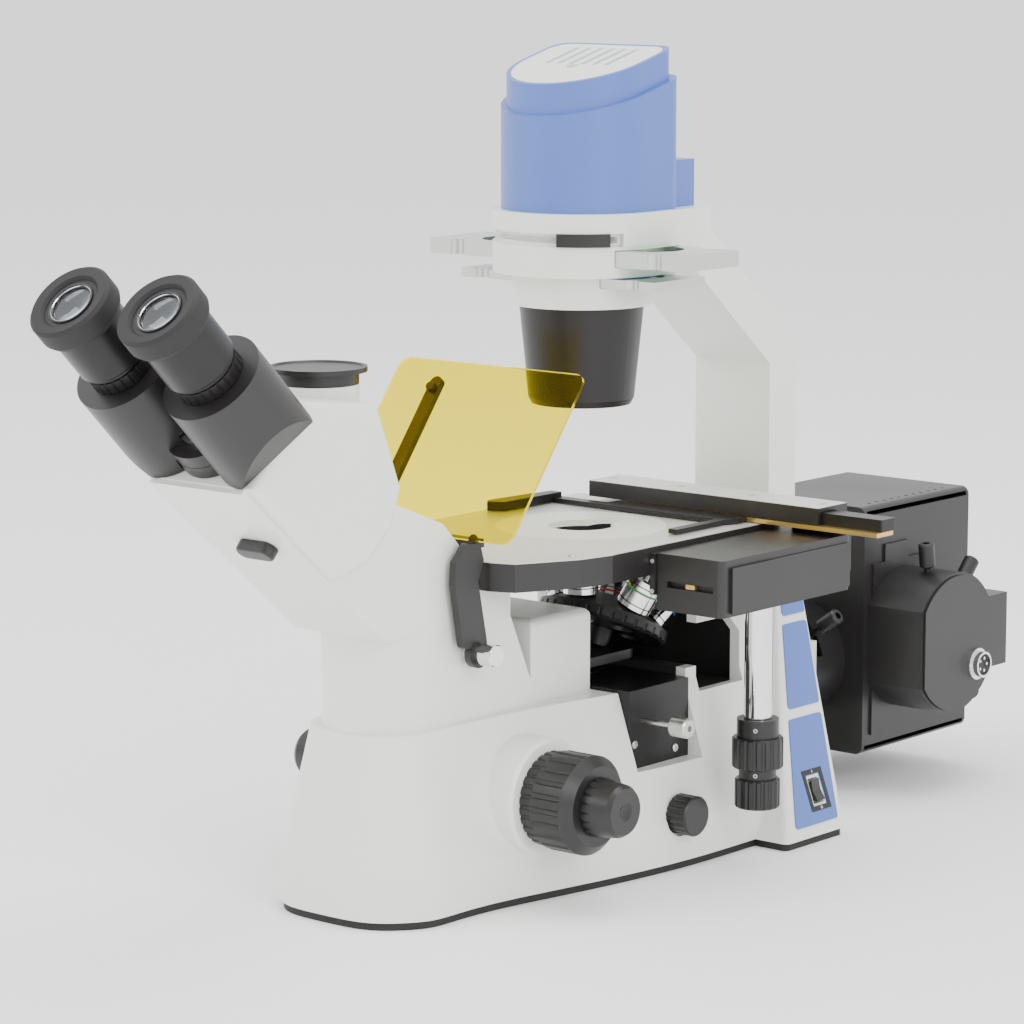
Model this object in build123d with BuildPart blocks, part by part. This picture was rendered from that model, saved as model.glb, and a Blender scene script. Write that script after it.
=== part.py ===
from build123d import *
import os
from math import cos, radians, sin, sqrt, tan

os.makedirs("parts", exist_ok=True)

# Inverted microscope with a fluorescence lamp house. Millimetres, Z up, +X to the user's right,
# +Y from the eyepieces back to the lamp house. The origin is the foot of the objective axis.

# Fits shared by the whole instrument
running = 0.05          # radial clearance of a shaft in its bore
slide_gap = 0.4         # gap between pieces that move past each other
soft_edge = 1.0         # small broken edge on machined and moulded pieces
moulded_edge = 2.0      # larger edge on covers and knobs
groove_share = 0.45     # how far outside a grip's radius its grooves are centred, as a share of their own

# Heights above the bench
foot_height = 5.0
ledge_height = 115.0    # ledge of the base round the front column
seam_height = 175.0     # joint between the front column and the neck
post_height = 20.0      # the seam up to the underside of the stage
stage_thickness = 18.0
specimen_gap = 80.0     # stage to condenser
collar_top = 418.0
epi_height = 91.5       # axis of the fluorescence light path

# Base casting
nose_reach = 248.0      # front of the base ahead of the objective axis
nose_half = 61.0
nose_length = 58.0
waist_half = 70.0
hip_half = 88.5
hip_start = 34.0
base_rear = 190.0
tail_half = 52.0
nose_curve = ((0.7, 0.16), (0.93, 0.45))    # shares of the half width and of the nose length
nose_draft = 16.0       # how far the nose leans back up to the ledge
ledge_half = 42.0
ledge_waist_half = 44.0
ledge_hip_half = 62.0
plinth_height = 32.0    # height of the upright strip round the foot
foot_inset = 1.6
wing_half = 114.0
wing_front = 73.0
wing_rear = 139.0
tower_height = 195.0
shoulder_height = 162.0
shoulder_half = 55.5
shoulder_front = 137.0
shoulder_rear = 167.0
tower_corner = 4.0

# Nosepiece well behind the column and the window in its right wall
well_half = 54.0
well_front = -33.0
well_rear = 95.0
well_floor = 104.0
well_roof = 158.0
window_roof = 150.0
window_front = 42.0
window_rear = 89.0
window_corner = 12.0
bulkhead_height = 122.0
bulkhead_thickness = 11.0
pocket_wall = 2.0
well_back = 3.0
window_depth = 12.0

# Pillar that carries the transmitted light
pillar_half = 31.0
pillar_front = 162.0
pillar_depth = 32.0
pillar_bend = 305.0
arm_bend_rise = 10.9    # how much higher the bend is at the pillar's rear face
arm_front = 60.0
arm_drop = 27.4         # depth of the arm where it meets the collar
arm_shoulder = 72.3     # where the arm's top meets the foot of the lamp head

# Collar, rings and condenser
rim_radius = 57.4
rim_height = 12.0
neck_radius = 53.0
neck_height = 8.5
slider_ring_radius = 57.0
slider_ring_height = 19.5
lower_ring_radius = 44.5
lower_ring_height = 21.0
ring_bore = 30.0
lever_band = 4.0
condenser_top_radius = 40.0
condenser_bottom_radius = 34.0
condenser_wall = 3.0
condenser_lens_radius = 27.0
condenser_lip = 4.0
condenser_seat = 14.0

# Lamp head
lamp_radius = 51.6
shell_reach = 39.0
lamp_hump_height = 30.0
lamp_hump_half = 44.0
lamp_wall = 3.0
ledge_rise = 74.0
lamp_top_rise = 93.0
lamp_slope = 15.0
lamp_step = 3.5
lamp_corner = 12.0
vent_slots = 6
vent_pitch = 9.5
vent_plate = 2.5
upper_slider_reach = 104.0
upper_slider_half = 28.0
upper_slider_thickness = 10.0
lower_slider_reach = 79.0
lower_slider_half = 26.0
lower_slider_thickness = 6.0
upper_slider_drop = 12.5
lower_slider_drop = 7.0
slider_openings = 3
slider_pitch_share = 0.55
slider_opening_share = 0.72
slider_notch_share = 1.55
slider_notch = 6.0

# Stage and its insert
stage_half = 86.0
stage_front = -145.0
stage_rear = 105.0
stage_front_half = 45.0
stage_cheek = 16.0      # first taper of the stage's front corners
stage_cheek_depth = 6.0
stage_flank = 5.0       # second taper
stage_flank_depth = 45.0
stage_side_depth = 70.0
insert_radius = 56.0
insert_thickness = 4.0
insert_ledge = 3.0
insert_hole = 21.0

# Mechanical stage
rail_thickness = 4.0
rail_height = 26.0
rail_over = 2.0
rail_drop = 4.0
drive_front = -36.0
drive_rear = 101.0
drive_width = 51.0
drive_drop = 3.5        # stage top to the top of the drive box
drive_height = 36.0
shaft_y = 37.0
bar_left = -57.0
bar_right = 131.0
bar_front = 79.0
bar_depth = 32.0
bar_height = 11.0
strip_height = 3.0
x_travel = 50.0

# Trinocular head and binocular tube
eye_tilt = 45.0
pivot_y = -329.3
pivot_rise = 128.3      # heights on the head are above the seam
head_half = 44.0
arm_offset = 35.0       # half the eye distance at rest
arm_radius = 31.0
arm_length = 63.0
arm_swing = 40.0
disc_radius = 27.0
disc_thickness = 9.0
spigot_radius = 13.0
spigot_flange = 4.0
spigot_root = 3.0
eyepiece_radius = 22.0
eyecup_radius = 26.3
port_y = -248.0
port_radius = 24.5

# Nosepiece
turret_tilt = 25.0
turret_y = 24.0
turret_drop = 45.0      # underside of the stage to the turret's centre
turret_radius = 43.0
turret_rim = 8.0
turret_ribs = 32
turret_groove = 1.5
seat_drop = 27.0
seat_radius = 13.0
objective_count = 5
objective_radius = 11.5
objective_length = 38.0

# Focus knobs
focus_y = -118.0
focus_z = 65.0
coarse_radius = 31.0
fine_radius = 18.5
focus_boss_radius = 37.0
focus_boss_face = 71.0
coarse_end = 110.0
fine_end = 131.0
coarse_bevel = 6.0
coarse_ribs = 22
coarse_groove = 2.2
fine_draft = 2.0
fine_bevel = 3.0
fine_dish = 6.0
fine_dish_depth = 2.0
fine_ribs = 20
fine_groove = 1.4

# Filter box
filter_reach = 66.0
filter_front = -32.0
filter_rear = 29.0
filter_bottom = 66.0
filter_top = 117.0
filter_wall = 3.0

# Lamp house of the fluorescence unit
house_half = 55.0
house_front = 241.0
house_depth = 128.0
house_bottom = 27.0
house_height = 173.0
house_wall = 3.0
tube_radius = 40.0
socket_radius = 49.0
socket_flat = 41.0
socket_depth = 45.0
socket_y = 287.0
socket_z = 105.0

# Shield
shield_width = 150.0
shield_height = 121.0
shield_thickness = 2.0
shield_tilt = 52.5
shield_foot_y = -160.0
shield_foot_rise = 15.0 # stage top to the shield's lower edge
hoop_half = 44.0
hoop_y = -155.0
hoop_drop = 17.0        # seam down to the thumb screws
hoop_bar = 5.0
hoop_width = 7.0
hoop_foot_gap = 0.5     # the shield's lower edge to the top of the cross bar
hoop_inset = 5.5        # cross bar behind the shield's lower edge

# Front column, focus block and neck
column_half = 37.0
column_nose_y = -193.0
block_front = -88.0
block_half = 35.0
block_height = 53.0
block_round = 5.0
post_front = -145.4
post_rear = -115.0
neck_front_y = -353.0
neck_front_rise = 104.0
neck_rear_y = -178.0
neck_rear_rise = 65.0
neck_back_rise = 85.0   # the neck's back inside the head
neck_back_depth = 50.0
neck_heel = 5.0
neck_shoulder_rise = 32.0
head_profile = (
    (-350.5, 107.1),
    (-304.6, 153.0),
    (-243.0, 146.0),
    (-222.0, 93.0),
    (-230.0, 71.0),
    (-252.0, 51.0),
    (-280.0, 44.0),
)
head_round = 9.0

# Photo port and light lever
port_bore = 21.0
port_height = 12.6
port_root = 4.0         # how deep the port ring sits in the head's curved top
cap_plug = 4.0
cap_height = 10.4
cap_rim = 3.0
cap_radius = 29.5
cap_lip = 2.0
selector_x = 8.0
selector_y = -308.0
selector_length = 28.0
selector_width = 12.0
selector_depth = 7.0
selector_sunk = 2.5

# Tube arms and eyepieces
arm_turn = 22.0
arm_facet = 55.0
arm_facet_start = 13.0
tube_bore = 15.0
tube_depth = 30.0
diopter_radius = 20.5
diopter_height = 9.0
eyepiece_base = 10.0
eyepiece_length = 60.0
cup_base = 44.0
cup_bore = 17.5
lens_radius = 12.5
eyepiece_step = 1.5
eye_relief = 4.0
tube_clear = 4.0
cup_edge = 1.5
diopter_ribs = 24
diopter_groove = 1.0

# Controls on the base
focus_shaft_radius = 8.0
fine_shaft_radius = 4.0
tension_depth = 8.0
tension_radius = 29.5
tension_ribs = 28
tension_groove = 1.6
bright_y = -4.0
bright_z = 36.0
bright_radius = 13.0
bright_face = 84.0
bright_recess = 1.5     # spot face round the knob
bright_length = 15.0
bright_bore = 32.0
bright_ribs = 20
bright_groove = 1.1
control_shaft = 3.0
control_depth = 8.0
panel_thickness = 0.8
panel_levels = ((12.0, 78.0), (84.0, 136.0), (141.0, 158.0))
panel_front_inset = 0.15
panel_rear_inset = 0.12
switch_width = 15.0
switch_height = 21.0
switch_z = 32.0
switch_depth = 9.0
switch_rim = 2.0
switch_offset = 4.0     # behind the middle of the tower's face
rocker_tilt = 7.0

# Coaxial stage knobs
shaft_radius = 7.5
sleeve_radius = 9.0
x_knob_radius = 14.5
y_knob_radius = 16.5
knob_bottom = 38.0
x_knob_height = 19.0
y_knob_bottom = 64.0
y_knob_height = 20.0
knob_collar_height = 12.0
x_collar_radius = 12.0
y_collar_radius = 13.5
stage_knob_ribs = 18
stage_knob_groove = 1.6

# Specimen holder
holder_front = 58.0
holder_width = 9.0
holder_left = -71.0
holder_right = 72.0
holder_step = 4.0
holder_arm = 7.0
finger_tip = 10.0
finger_point = 6.0
finger_root = 14.0
finger_heel = 9.0

# Lamp house fittings
adjuster_radius = 5.5
adjuster_length = 20.0
adjuster_shaft = 2.5
adjuster_neck = 3.0
adjuster_socket = 4.0
adjuster_sunk = 12.0
connector_radius = 9.0
connector_length = 7.0
connector_wall = 1.5
connector_floor = 3.0
connector_pin = 1.0
rear_box_depth = 39.0
rear_box_width = 35.0
rear_box_bottom = 77.5
rear_box_top = 128.5
cover_thickness = 1.6

# Lamp head details
pillar_round = 3.0
band_end = 24.0
slot_depth = 5.0
lever_rest = -50.0
lever_width = 34.0
vent_y = 10.0
vent_length = 34.0
vent_width = 4.0

# Stage details
stage_round = 8.0
insert_notch_length = 30.0
insert_notch_width = 20.0
drive_round = 4.0
panel_proud = 1.0
drive_panel_inset = 8.0
drive_panel_drop = 5.0
drive_pad_length = 44.0
stop_slot_inset = 8.0
stop_slot_length = 36.0
stop_slot_width = 4.0
stop_slot_rise = 15.0
bar_screw = 3.0
bar_screws = 4
bar_screw_inset = 8.0
bar_screw_depth = 2.0
strip_start = -31.0
strip_end = 178.0
strip_depth = 16.0
channel_inset = 3.0
channel_left = 70.0
bracket_drop = 25.0
bracket_thickness = 6.0
strip_proud = 2.0
holder_reach = 50.0
inner_shaft_radius = 4.5
shaft_grip = 5.5        # how far the knob shafts reach into the drive box
strip_clear = 0.6

# Objectives: length and tip radius of each, as shares of the longest length and of the body radius
objectives = ((1.0, 0.52), (0.87, 0.65), (0.92, 0.43), (0.74, 0.7), (0.9, 0.57))
barrel_share = 0.62
shoulder_share = 0.66
nose_share = 0.9
objective_bore = 6.0
objective_throat = 4.0
objective_step = 1.5
front_rim = 2.5
light_bore = 8.0
turret_pin = 6.0
carriage_half = 26.0
carriage_drop = 24.0    # turret centre to the underside of the plate
carriage_plate = 6.0
carriage_height = 32.0
carriage_web = 9.0
carriage_round = 12.0
carriage_clear = 1.5    # plate to the bulkhead behind it
pin_foot = 12.0
pin_flange = 2.5

# Filter slider and switch details
rod_y = -18.0
rod_z = 96.0
rod_radius = 2.0
rod_length = 56.0
rod_knob_radius = 6.5
rod_knob_length = 14.0
rod_knob_recess = 3.0
cube_size = 22.0
cube_wall = 2.0
box_window = 12.0
panel_corner = 2.5
rocker_pivot = -0.4
rocker_rise = 2.6
rocker_dip = 1.4
rocker_taper = 0.75
rocker_barrel = 2.2     # round underside on the rocker's pivot

# Collector and lamp house details
lever_station = 212.0
focus_lever_angle = 35.0
focus_swing = 20
swing_step = 5
lever_stand = 6.0
tube_flange = 6.0
tube_flange_depth = 8.0
house_vent_inset = 10.0
house_round = 6.0
house_vent = 1.4
house_vents = 11
house_vent_pitch = 9.0
adjuster_station = 26.0
adjuster_angles = (98.0, 46.0, -42.0)
connector_y = 311.0
connector_z = 87.0
connector_pins = 5
access_outline = ((250.0, 160.0), (264.0, 160.0), (264.0, 172.0), (292.0, 172.0), (292.0, 160.0),
                  (310.0, 160.0),
                  (310.0, 40.0), (250.0, 40.0))

# Shield details
shield_round = 8.0
hoop_eye = 9.0
leg_profile = (
    (-15.4, 5.0),
    (-23.0, 45.0),
    (-22.0, 59.0),
    (-12.0, 69.5),
    (0.5, 68.0),
    (4.0, 57.0),
    (-1.5, 45.0),
    (7.5, 3.0),
)
leg_round = 3.0
thumb_shaft = 3.0
thumb_depth = 8.0
thumb_radius = 7.0
thumb_collar = 6.0
thumb_neck = 5.0
thumb_neck_length = 3.0
thumb_edge = 0.6
thumb_length = 13.6
handle_top = 112.0
handle_foot = -16.0
handle_width = 9.0
handle_thickness = 4.0

# Mains inlet
inlet_z = 24.0
inlet_depth = 16.0
inlet_width = 24.0
inlet_height = 16.0
inlet_rim = 2.0
inlet_flange = 1.5
inlet_pins = ((0, 3), (-7, -1), (7, -1))
inlet_pin_width = 2.0
inlet_pin_height = 4.0
inlet_pin_clear = 6.0
inlet_shape = ((-0.85, -0.8), (0.85, -0.8), (0.85, 0.35), (0.5, 0.8), (-0.5, 0.8), (-0.85, 0.35))

# Lenses of the light path
lens_edge = 4.0
condenser_lens_rise = 3.0
condenser_bulge = 6.0
field_lens_drop = 6.0
field_bulge = 6.6
collector_lens_inset = 12.0
collector_bulge = 8.0

# Places worked out from the sizes above
stage_bottom = seam_height + post_height
stage_top = stage_bottom + stage_thickness
drive_top = stage_top - drive_drop
turret_z = stage_bottom - turret_drop
seat_height = stage_bottom - seat_drop
carriage_bottom = turret_z - carriage_drop
pivot_z = seam_height + pivot_rise
neck_front_z = seam_height + neck_front_rise
head_top = seam_height + head_profile[2][1]
hoop_z = seam_height - hoop_drop
shield_foot_z = stage_top + shield_foot_rise
filter_left = -cube_size * 1.5 - filter_wall - 2 * slide_gap
bulkhead_front = filter_rear + pocket_wall
condenser_bottom = stage_top + specimen_gap
neck_top = collar_top - rim_height
ring_top = neck_top - neck_height
lower_ring_top = ring_top - slider_ring_height
condenser_top = lower_ring_top - lower_ring_height
drive_left = stage_half + rail_thickness + slide_gap
drive_bottom = drive_top - drive_height
shaft_x = drive_left + drive_width / 2
shaft_top = drive_bottom + shaft_grip
x_knob_top = knob_bottom + x_knob_height
y_knob_top = y_knob_bottom + y_knob_height
bar_bottom = stage_top + strip_height + 2 * slide_gap
block_rear = well_front - slide_gap * 2

eye = Plane(
    origin=(0, pivot_y, pivot_z),
    x_dir=(1, 0, 0),
    z_dir=(0, -cos(radians(eye_tilt)), sin(radians(eye_tilt))),
)
turret_plane = Plane(
    origin=(0, turret_y, turret_z),
    x_dir=(0, -cos(radians(turret_tilt)), sin(radians(turret_tilt))),
    z_dir=(0, sin(radians(turret_tilt)), cos(radians(turret_tilt))),
)


def save(piece, label):
    """Names a finished piece and writes it."""
    piece.part.label = label
    export_step(piece.part, f"parts/{label}.step")


def base_section(height, lean, front_half, waist, hip):
    """One closed section of the base casting, the same on both sides."""
    front = -nose_reach + lean
    start = -nose_reach + nose_length
    with BuildSketch(Plane.XY.offset(height)) as section:
        with BuildLine():
            Spline(
                (0, front),
                *[(across * front_half, front + back * (start - front)) for across, back in nose_curve],
                (front_half, start),
                tangents=((1, 0), (0, 1)),
            )
            Spline((front_half, start), (waist, focus_y), (hip, hip_start), tangents=((0, 1), (0, 1)))
            Polyline((hip, hip_start), (hip, wing_rear), (tail_half, base_rear), (0, base_rear))
            mirror(about=Plane.YZ)
        make_face()
    return section.sketch


def wing_section(height, half, front, rear):
    """One section of the tower that carries the pillar."""
    with BuildSketch(Plane.XY.offset(height)) as section:
        with Locations((0, (front + rear) / 2)):
            RectangleRounded(2 * half, rear - front, tower_corner)
    return section.sketch


def block(x, y, z):
    """A block between two values along each axis."""
    with BuildPart() as body:
        with BuildSketch(Plane.XY.offset(z[0])):
            with Locations(((x[0] + x[1]) / 2, (y[0] + y[1]) / 2)):
                Rectangle(x[1] - x[0], y[1] - y[0])
        extrude(amount=z[1] - z[0])
    return body.part


def side_shape(half, *points):
    """A shape extruded to both sides from its (y, z) outline."""
    with BuildPart() as body:
        with BuildSketch(Plane.YZ):
            with BuildLine():
                Polyline(*points, close=True)
            make_face()
        extrude(amount=half, both=True)
    return body.part


def turned(plane, *profile):
    """A piece turned about the plane's normal, from (radius, height) points."""
    upright = Plane(origin=plane.origin, x_dir=plane.x_dir, z_dir=-plane.y_dir)
    with BuildPart() as body:
        with BuildSketch(upright):
            with BuildLine():
                Polyline(*profile, close=True)
            make_face()
        revolve(axis=Axis(plane.origin, plane.z_dir))
    return body.part


def grip_cuts(plane, radius, length, count, groove):
    """The grooves of a ribbed grip of that radius, to be cut from it."""
    with BuildPart() as cuts:
        with BuildSketch(plane):
            with PolarLocations(radius + groove_share * groove, count):
                Circle(groove)
        extrude(amount=length)
    return cuts.part


def seat_plane(index):
    """The seat of one objective, its normal along that objective's axis."""
    turn = radians(360 / objective_count * index)
    tilt = radians(turret_tilt)
    seat = Vector(0, 0, seat_height) - turret_plane.origin
    out = seat.dot(turret_plane.x_dir)
    up = seat.dot(turret_plane.z_dir)
    radial = turret_plane.x_dir * cos(turn) + turret_plane.y_dir * sin(turn)
    normal = turret_plane.z_dir * cos(tilt) + radial * sin(tilt)
    side = turret_plane.y_dir * cos(turn) - turret_plane.x_dir * sin(turn)
    return Plane(turret_plane.origin + radial * out + turret_plane.z_dir * up, x_dir=side, z_dir=normal)


def along_x(x, y, z):
    """A plane that faces +X at a point, for shafts and knobs on the right side."""
    return Plane(origin=(x, y, z), x_dir=(0, 1, 0), z_dir=(1, 0, 0))


rise = shoulder_height - foot_height
wing_lean = (wing_half - shoulder_half) / rise
face_normal = Vector(1, 0, wing_lean).normalized()


def wing_edges(height):
    """The front and rear edges of the tower's side face at a height."""
    part = (height - foot_height) / rise
    return (wing_front + (shoulder_front - wing_front) * part, wing_rear + (shoulder_rear - wing_rear) * part)


def panel_outline(low, high):
    """Corners of one side panel, inset from the edges of the face it lies on."""
    corners = []
    for height, order in ((low, 1), (high, -1)):
        front, rear = wing_edges(height)
        inner_front = front + (rear - front) * panel_front_inset
        inner_rear = rear - (rear - front) * panel_rear_inset
        up = (height - foot_height) * sqrt(1 + wing_lean**2)
        corners += [(inner_front, up), (inner_rear, up)][::order]
    return corners


def face_plane(side):
    """The sloping side face of the tower, with its own y up the slope."""
    return Plane(origin=(side * wing_half, 0, foot_height), x_dir=(0, 1, 0),
                 z_dir=(side * face_normal.X, 0, face_normal.Z))


switch_up = (switch_z - foot_height) * sqrt(1 + wing_lean**2)
switch_y = sum(wing_edges(switch_z)) / 2 + switch_offset

# Rubber foot strip under the whole base
with BuildPart() as foot:
    add(base_section(0, foot_inset, nose_half - foot_inset, waist_half - foot_inset, hip_half - foot_inset))
    add(wing_section(0, wing_half - foot_inset, wing_front + foot_inset, wing_rear - foot_inset))
    extrude(amount=foot_height)
save(foot, "foot_strip")

# Base casting: nose, flanks, tower wings and the nosepiece well
with BuildPart() as tower:
    add(wing_section(foot_height, wing_half, wing_front, wing_rear))
    add(wing_section(shoulder_height, shoulder_half, shoulder_front, shoulder_rear))
    add(wing_section(tower_height, pillar_half + tower_corner, pillar_front - tower_corner,
                     pillar_front + pillar_depth + tower_corner))
    loft(ruled=True)
with BuildPart() as base:
    add(base_section(foot_height, 0, nose_half, waist_half, hip_half))
    add(base_section(plinth_height, 0, nose_half, waist_half, hip_half))
    add(base_section(ledge_height, nose_draft, ledge_half, ledge_waist_half, ledge_hip_half))
    loft(ruled=True)
    add(tower.part)
    add(block((-ledge_hip_half, ledge_hip_half), (bulkhead_front, stage_rear), (well_floor, well_roof)))
    add(block((-tail_half, tail_half), (well_rear + well_back, pillar_front), (well_floor, tower_height)))
    add(block((-well_half, well_half), (bulkhead_front + bulkhead_thickness, well_rear),
              (well_floor, tower_height)),
        mode=Mode.SUBTRACT)
    add(block((-well_half, ledge_hip_half), (0, bulkhead_front + bulkhead_thickness),
              (bulkhead_height, tower_height)),
        mode=Mode.SUBTRACT)
    add(block((filter_left - slide_gap, 2 * filter_reach),
              (filter_front - slide_gap, filter_rear + slide_gap),
              (filter_bottom, tower_height)), mode=Mode.SUBTRACT)
    # window in the right wall of the well
    with BuildSketch(along_x(well_half - soft_edge, 0, 0)):
        with BuildLine():
            Polyline((window_front, well_floor), (window_rear, well_floor),
                     (window_rear, window_roof - window_corner),
                     (window_rear - window_corner, window_roof), (window_front, window_roof), close=True)
        make_face()
    extrude(amount=window_depth, mode=Mode.SUBTRACT)
    # focus bosses, and the bores of the shafts
    for side in (1, -1):
        add(turned(Plane(origin=(0, focus_y, focus_z), x_dir=(0, 1, 0), z_dir=(side, 0, 0)), (0, 0),
                   (focus_boss_radius, 0), (focus_boss_radius, focus_boss_face - moulded_edge),
                   (focus_boss_radius - moulded_edge, focus_boss_face), (0, focus_boss_face)))
    with BuildSketch(along_x(0, focus_y, focus_z)):
        Circle(focus_shaft_radius + running)
    extrude(amount=2 * focus_boss_face, both=True, mode=Mode.SUBTRACT)
    with BuildSketch(along_x(hip_half, bright_y, bright_z)):
        Circle(control_shaft + running)
    extrude(amount=-bright_bore, mode=Mode.SUBTRACT)
    with BuildSketch(along_x(bright_face - slide_gap, bright_y, bright_z)):
        Circle(bright_radius + bright_recess)
    extrude(amount=bright_length, mode=Mode.SUBTRACT)
    # light path from the filter box back to the collector tube
    with BuildSketch(Plane(origin=(0, filter_rear, epi_height), x_dir=(-1, 0, 0), z_dir=(0, 1, 0))):
        Circle(light_bore + pocket_wall)
    extrude(amount=base_rear, mode=Mode.SUBTRACT)
    with BuildSketch(Plane(origin=(0, base_rear, inlet_z), x_dir=(-1, 0, 0), z_dir=(0, 1, 0))):
        RectangleRounded(inlet_width, inlet_height, inlet_rim)
    extrude(amount=-inlet_depth, mode=Mode.SUBTRACT)
    with BuildSketch(face_plane(1)):
        with Locations((switch_y, switch_up)):
            Rectangle(switch_width - 2 * switch_rim, switch_height - 2 * switch_rim)
    extrude(amount=-switch_depth, mode=Mode.SUBTRACT)
save(base, "base_casting")


# Front column on the ledge, with its sloping rear flank
with BuildPart() as column:
    with BuildSketch(Plane.XY.offset(ledge_height)):
        with Locations((0, column_nose_y)):
            Circle(column_half)
        with Locations((0, (column_nose_y + block_front) / 2)):
            Rectangle(2 * column_half, block_front - column_nose_y)
    extrude(amount=seam_height - ledge_height)
    slope = side_shape(2 * column_half, (block_front, ledge_height), (0, ledge_height),
                       (0, seam_height), (post_rear, seam_height))
    add(slope, mode=Mode.SUBTRACT)
    for side in (1, -1):
        with BuildSketch(Plane(origin=(side * column_half, hoop_y, hoop_z), x_dir=(0, 1, 0),
                               z_dir=(side, 0, 0))):
            Circle(thumb_shaft + running)
        extrude(amount=-thumb_depth - slide_gap, mode=Mode.SUBTRACT)
    # focus block cover behind the column
    with BuildPart(mode=Mode.PRIVATE) as cover:
        add(block((-block_half, block_half), (block_front - block_round, block_rear),
                  (ledge_height, ledge_height + block_height)))
        fillet(cover.edges().group_by(Axis.Z)[-1], radius=block_round)
    add(cover.part)
save(column, "front_column")

# Seat of the light port selector on the neck's sloping front
neck_lean = neck_front_y - column_nose_y + column_half
selector_share = (selector_y - column_nose_y + column_half) / neck_lean
selector_plane = Plane(origin=(selector_x, selector_y, seam_height + neck_front_rise * selector_share),
                       x_dir=(1, 0, 0), z_dir=Vector(0, -neck_front_rise, neck_lean).normalized())
with BuildPart() as selector_socket:
    with BuildSketch(selector_plane):
        Circle(control_shaft + running)
    extrude(amount=-selector_sunk - slide_gap)

# Prism housing of the trinocular head
with BuildPart() as head:
    add(side_shape(head_half, *[(y, seam_height + up) for y, up in head_profile]))
    fillet(head.edges().filter_by(Axis.X).group_by(Axis.Z)[0], radius=head_round)
    fillet(head.faces().filter_by(Axis.X).edges(), radius=head_round / 2)
    with BuildSketch(Plane.XY.offset(head_top - 2 * cap_plug)):
        with Locations((0, port_y)):
            Circle(port_bore)
    extrude(amount=2 * head_round, mode=Mode.SUBTRACT)
    add(selector_socket.part, mode=Mode.SUBTRACT)
save(head, "prism_housing")

# Neck casting: leans forward under the head, and its post carries the front of the stage
with BuildPart() as neck:
    add(side_shape(column_half, (column_nose_y - column_half, seam_height), (neck_front_y, neck_front_z),
                   (pivot_y + neck_heel, pivot_z),
                   (neck_rear_y - neck_back_depth, seam_height + neck_back_rise),
                   (neck_rear_y, seam_height + neck_rear_rise),
                   (post_front, seam_height + neck_shoulder_rise),
                   (post_front, stage_bottom), (post_rear, stage_bottom), (post_rear, seam_height)))
    add(head.part, mode=Mode.SUBTRACT)
    add(selector_socket.part, mode=Mode.SUBTRACT)
save(neck, "neck_casting")

# Photo port on top of the head, and its dust cap
port_plane = Plane.XY.offset(head_top - port_root)
with BuildPart() as port:
    with BuildSketch(port_plane):
        with Locations((0, port_y)):
            Circle(port_radius)
            Circle(port_bore, mode=Mode.SUBTRACT)
    extrude(amount=port_height)
    add(head.part, mode=Mode.SUBTRACT)
save(port, "photo_port")

port_top = head_top - port_root + port_height
cap_plane = Plane(origin=(0, port_y, port_top), x_dir=(1, 0, 0), z_dir=(0, 0, 1))
with BuildPart() as cap:
    add(turned(cap_plane, (0, -cap_plug), (port_bore - slide_gap, -cap_plug),
               (port_bore - slide_gap, slide_gap),
               (port_radius, slide_gap), (port_radius, cap_height - cap_rim),
               (cap_radius, cap_height - cap_rim), (cap_radius, cap_height),
               (cap_radius - cap_lip, cap_height),
               (cap_radius - cap_lip - soft_edge, cap_height - soft_edge), (0, cap_height - soft_edge)))
save(cap, "port_cap")

# Light port selector under the neck, a finger bar on a short stem
with BuildPart() as lever:
    with BuildSketch(selector_plane.offset(slide_gap)):
        SlotOverall(selector_length, selector_width)
    extrude(amount=selector_depth)
    fillet(lever.faces().sort_by(Axis(selector_plane.origin, selector_plane.z_dir))[-1].edges(),
           radius=2 * soft_edge)
    with BuildSketch(selector_plane.offset(-selector_sunk)):
        Circle(control_shaft)
    extrude(amount=selector_sunk + slide_gap)
save(lever, "beam_lever")

# Pivot spigot of the binocular tube
with BuildPart() as spigot:
    flange = 2 * disc_thickness + 3 * slide_gap
    add(turned(eye, (0, -spigot_root), (spigot_radius, -spigot_root), (spigot_radius, flange),
               (spigot_radius + spigot_flange, flange), (spigot_radius + spigot_flange, flange + spigot_root),
               (0, flange + spigot_root)))
    add(head.part, mode=Mode.SUBTRACT)
save(spigot, "binocular_spigot")


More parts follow.
